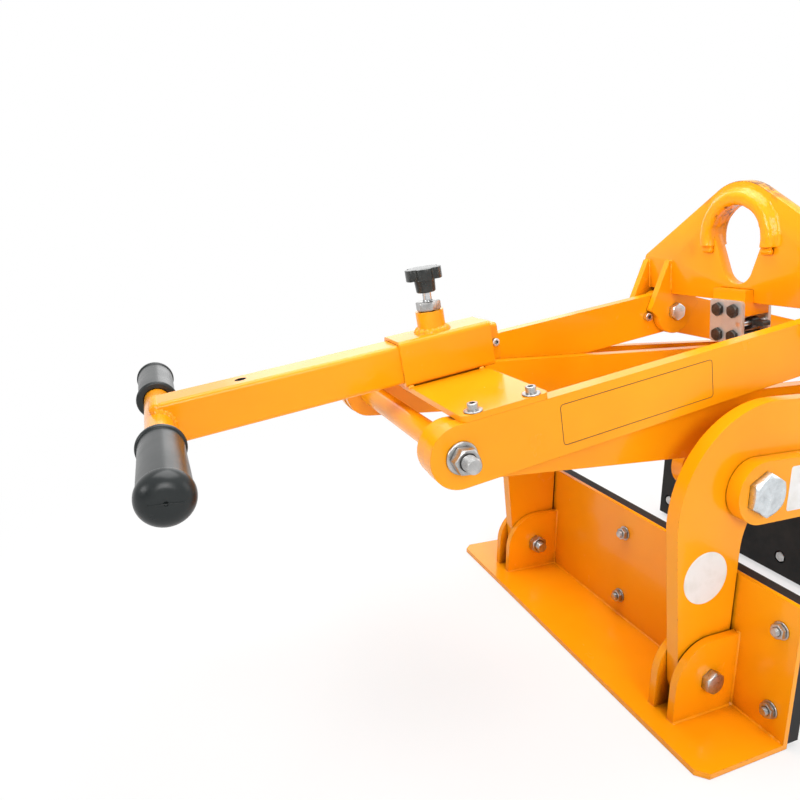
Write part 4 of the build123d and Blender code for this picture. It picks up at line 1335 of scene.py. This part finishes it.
def makeFloor():
    freshStart()
    bpy.ops.mesh.primitive_plane_add(size=stage["floorSize"], location=(0, 0, -stage["floorDrop"]))
    floor = bpy.context.object
    floor.name = "floor"
    finish, tree, shader = newFinish("paleFloor")
    shade = addNoise(tree, stage["shadeScale"], detail=2.0)
    setInputs(tree, shader, {
        "Base Color": addRamp(tree, shade, patchSpan, *stage["floorGrey"]),
        "Roughness": stage["floorRoughness"],
        "Specular IOR Level": stage["floorSpecular"],
    })
    # White away from the object, and shaded near it
    away = addNode(tree, "ShaderNodeVectorMath", operation="LENGTH")
    tree.links.new(addPlace(tree), away.inputs[0])
    fade = addRange(tree, away.outputs["Value"], stage["fade"], (stage["nearWhite"], 1.0), "SMOOTHSTEP")
    light = addNode(tree, "ShaderNodeLightPath")
    seen = addMath(tree, "MULTIPLY", addSeen(tree, light, light.outputs["Is Glossy Ray"]), fade)
    glow = addNode(tree, "ShaderNodeEmission", {"Color": (1, 1, 1, 1), "Strength": 1.0})
    mixShaders(tree, seen, shader.outputs["BSDF"], glow.outputs["Emission"], "Material Output")
    floor.data.materials.append(finish)


def makeWorld():
    world = bpy.data.worlds.new("studio")
    bpy.context.scene.world = world
    world.use_nodes = True
    tree = world.node_tree
    # The room is brighter behind and above the object than at its front left
    coords = addNode(tree, "ShaderNodeTexCoord")
    toLight = addNode(tree, "ShaderNodeVectorMath", {1: stage["brightSide"]}, operation="DOT_PRODUCT")
    tree.links.new(coords.outputs["Generated"], toLight.inputs[0])
    tone = addRange(tree, toLight.outputs["Value"], stage["dimSpan"], (stage["dimTone"], 1.0), "SMOOTHSTEP")
    fill = tree.nodes["Background"]
    setInputs(tree, fill, {"Color": tone, "Strength": stage["worldFill"]})
    white = addNode(tree, "ShaderNodeBackground", {"Color": (1, 1, 1, 1), "Strength": 1.0})
    light = addNode(tree, "ShaderNodeLightPath")
    seen = addSeen(tree, light, addMath(tree, "MULTIPLY", light.outputs["Is Glossy Ray"], tone))
    mixShaders(tree, seen, fill.outputs["Background"], white.outputs["Background"], "World Output")


lamps = {
    "overhead": {"place": (-0.35, 0.3, 3.0), "at": (0, 0, 0.4), "size": 2.6, "power": 90.0, "spread": 180.0},
    "front": {"place": (-0.9, -3.4, 1.9), "at": (-0.2, 0, 0.4), "size": 1.6, "power": 59.0, "spread": 180.0},
    "right": {"place": (3.0, -1.4, 1.8), "at": (0.2, 0, 0.4), "size": 1.8, "power": 16.0, "spread": 180.0},
    "back": {"place": (0.3, 3.0, 1.5), "at": (0, 0, 0.5), "size": 2.2, "power": 14.0, "spread": 180.0},
    "eye": {"place": (-1.5, -0.4, 1.05), "at": (0, 0, 0.76), "size": 0.8, "power": 1.8, "spread": 50.0},
}


def makeLamps():
    for name, lamp in lamps.items():
        bpy.ops.object.light_add(type="AREA", location=lamp["place"])
        light = bpy.context.object
        light.name = name
        light.data.shape = "SQUARE"
        light.data.size = lamp["size"]
        light.data.energy = lamp["power"]
        light.data.spread = math.radians(lamp["spread"])
        aim = Vector(lamp["at"]) - Vector(lamp["place"])
        light.rotation_euler = aim.to_track_quat("-Z", "Y").to_euler()


view = {
    "imageSize": 800, "focalPixels": 665.192, "middlePixel": (445.232, 386.783), "sensor": 36.0,
    "place": (-0.963488, -0.870217, 0.667678), "yaw": 24.138, "pitch": 12.461, "roll": -1.272,
    "clip": (0.05, 50.0),
}


def makeCamera():
    yaw, pitch, roll = (math.radians(view[key]) for key in ("yaw", "pitch", "roll"))
    forward = Vector((math.sin(yaw) * math.cos(pitch), math.cos(yaw) * math.cos(pitch), -math.sin(pitch)))
    level = Vector((math.cos(yaw), -math.sin(yaw), 0))
    down = forward.cross(level)
    right = level * math.cos(roll) + down * math.sin(roll)
    down = down * math.cos(roll) - level * math.sin(roll)
    turn = Matrix((right, -down, -forward)).transposed().to_4x4()
    bpy.ops.object.camera_add()
    camera = bpy.context.object
    camera.matrix_world = Matrix.Translation(view["place"]) @ turn
    camera.data.sensor_width = view["sensor"]
    camera.data.lens = view["sensor"] * view["focalPixels"] / view["imageSize"]
    half = view["imageSize"] / 2
    camera.data.shift_x = (half - view["middlePixel"][0]) / view["imageSize"]
    camera.data.shift_y = (view["middlePixel"][1] - half) / view["imageSize"]
    camera.data.clip_start, camera.data.clip_end = view["clip"]
    bpy.context.scene.camera = camera


makeFloor()
makeWorld()
makeLamps()
makeCamera()
bpy.context.scene.view_settings.view_transform = "Standard"
freshStart()
print("stage, lamps and camera set")
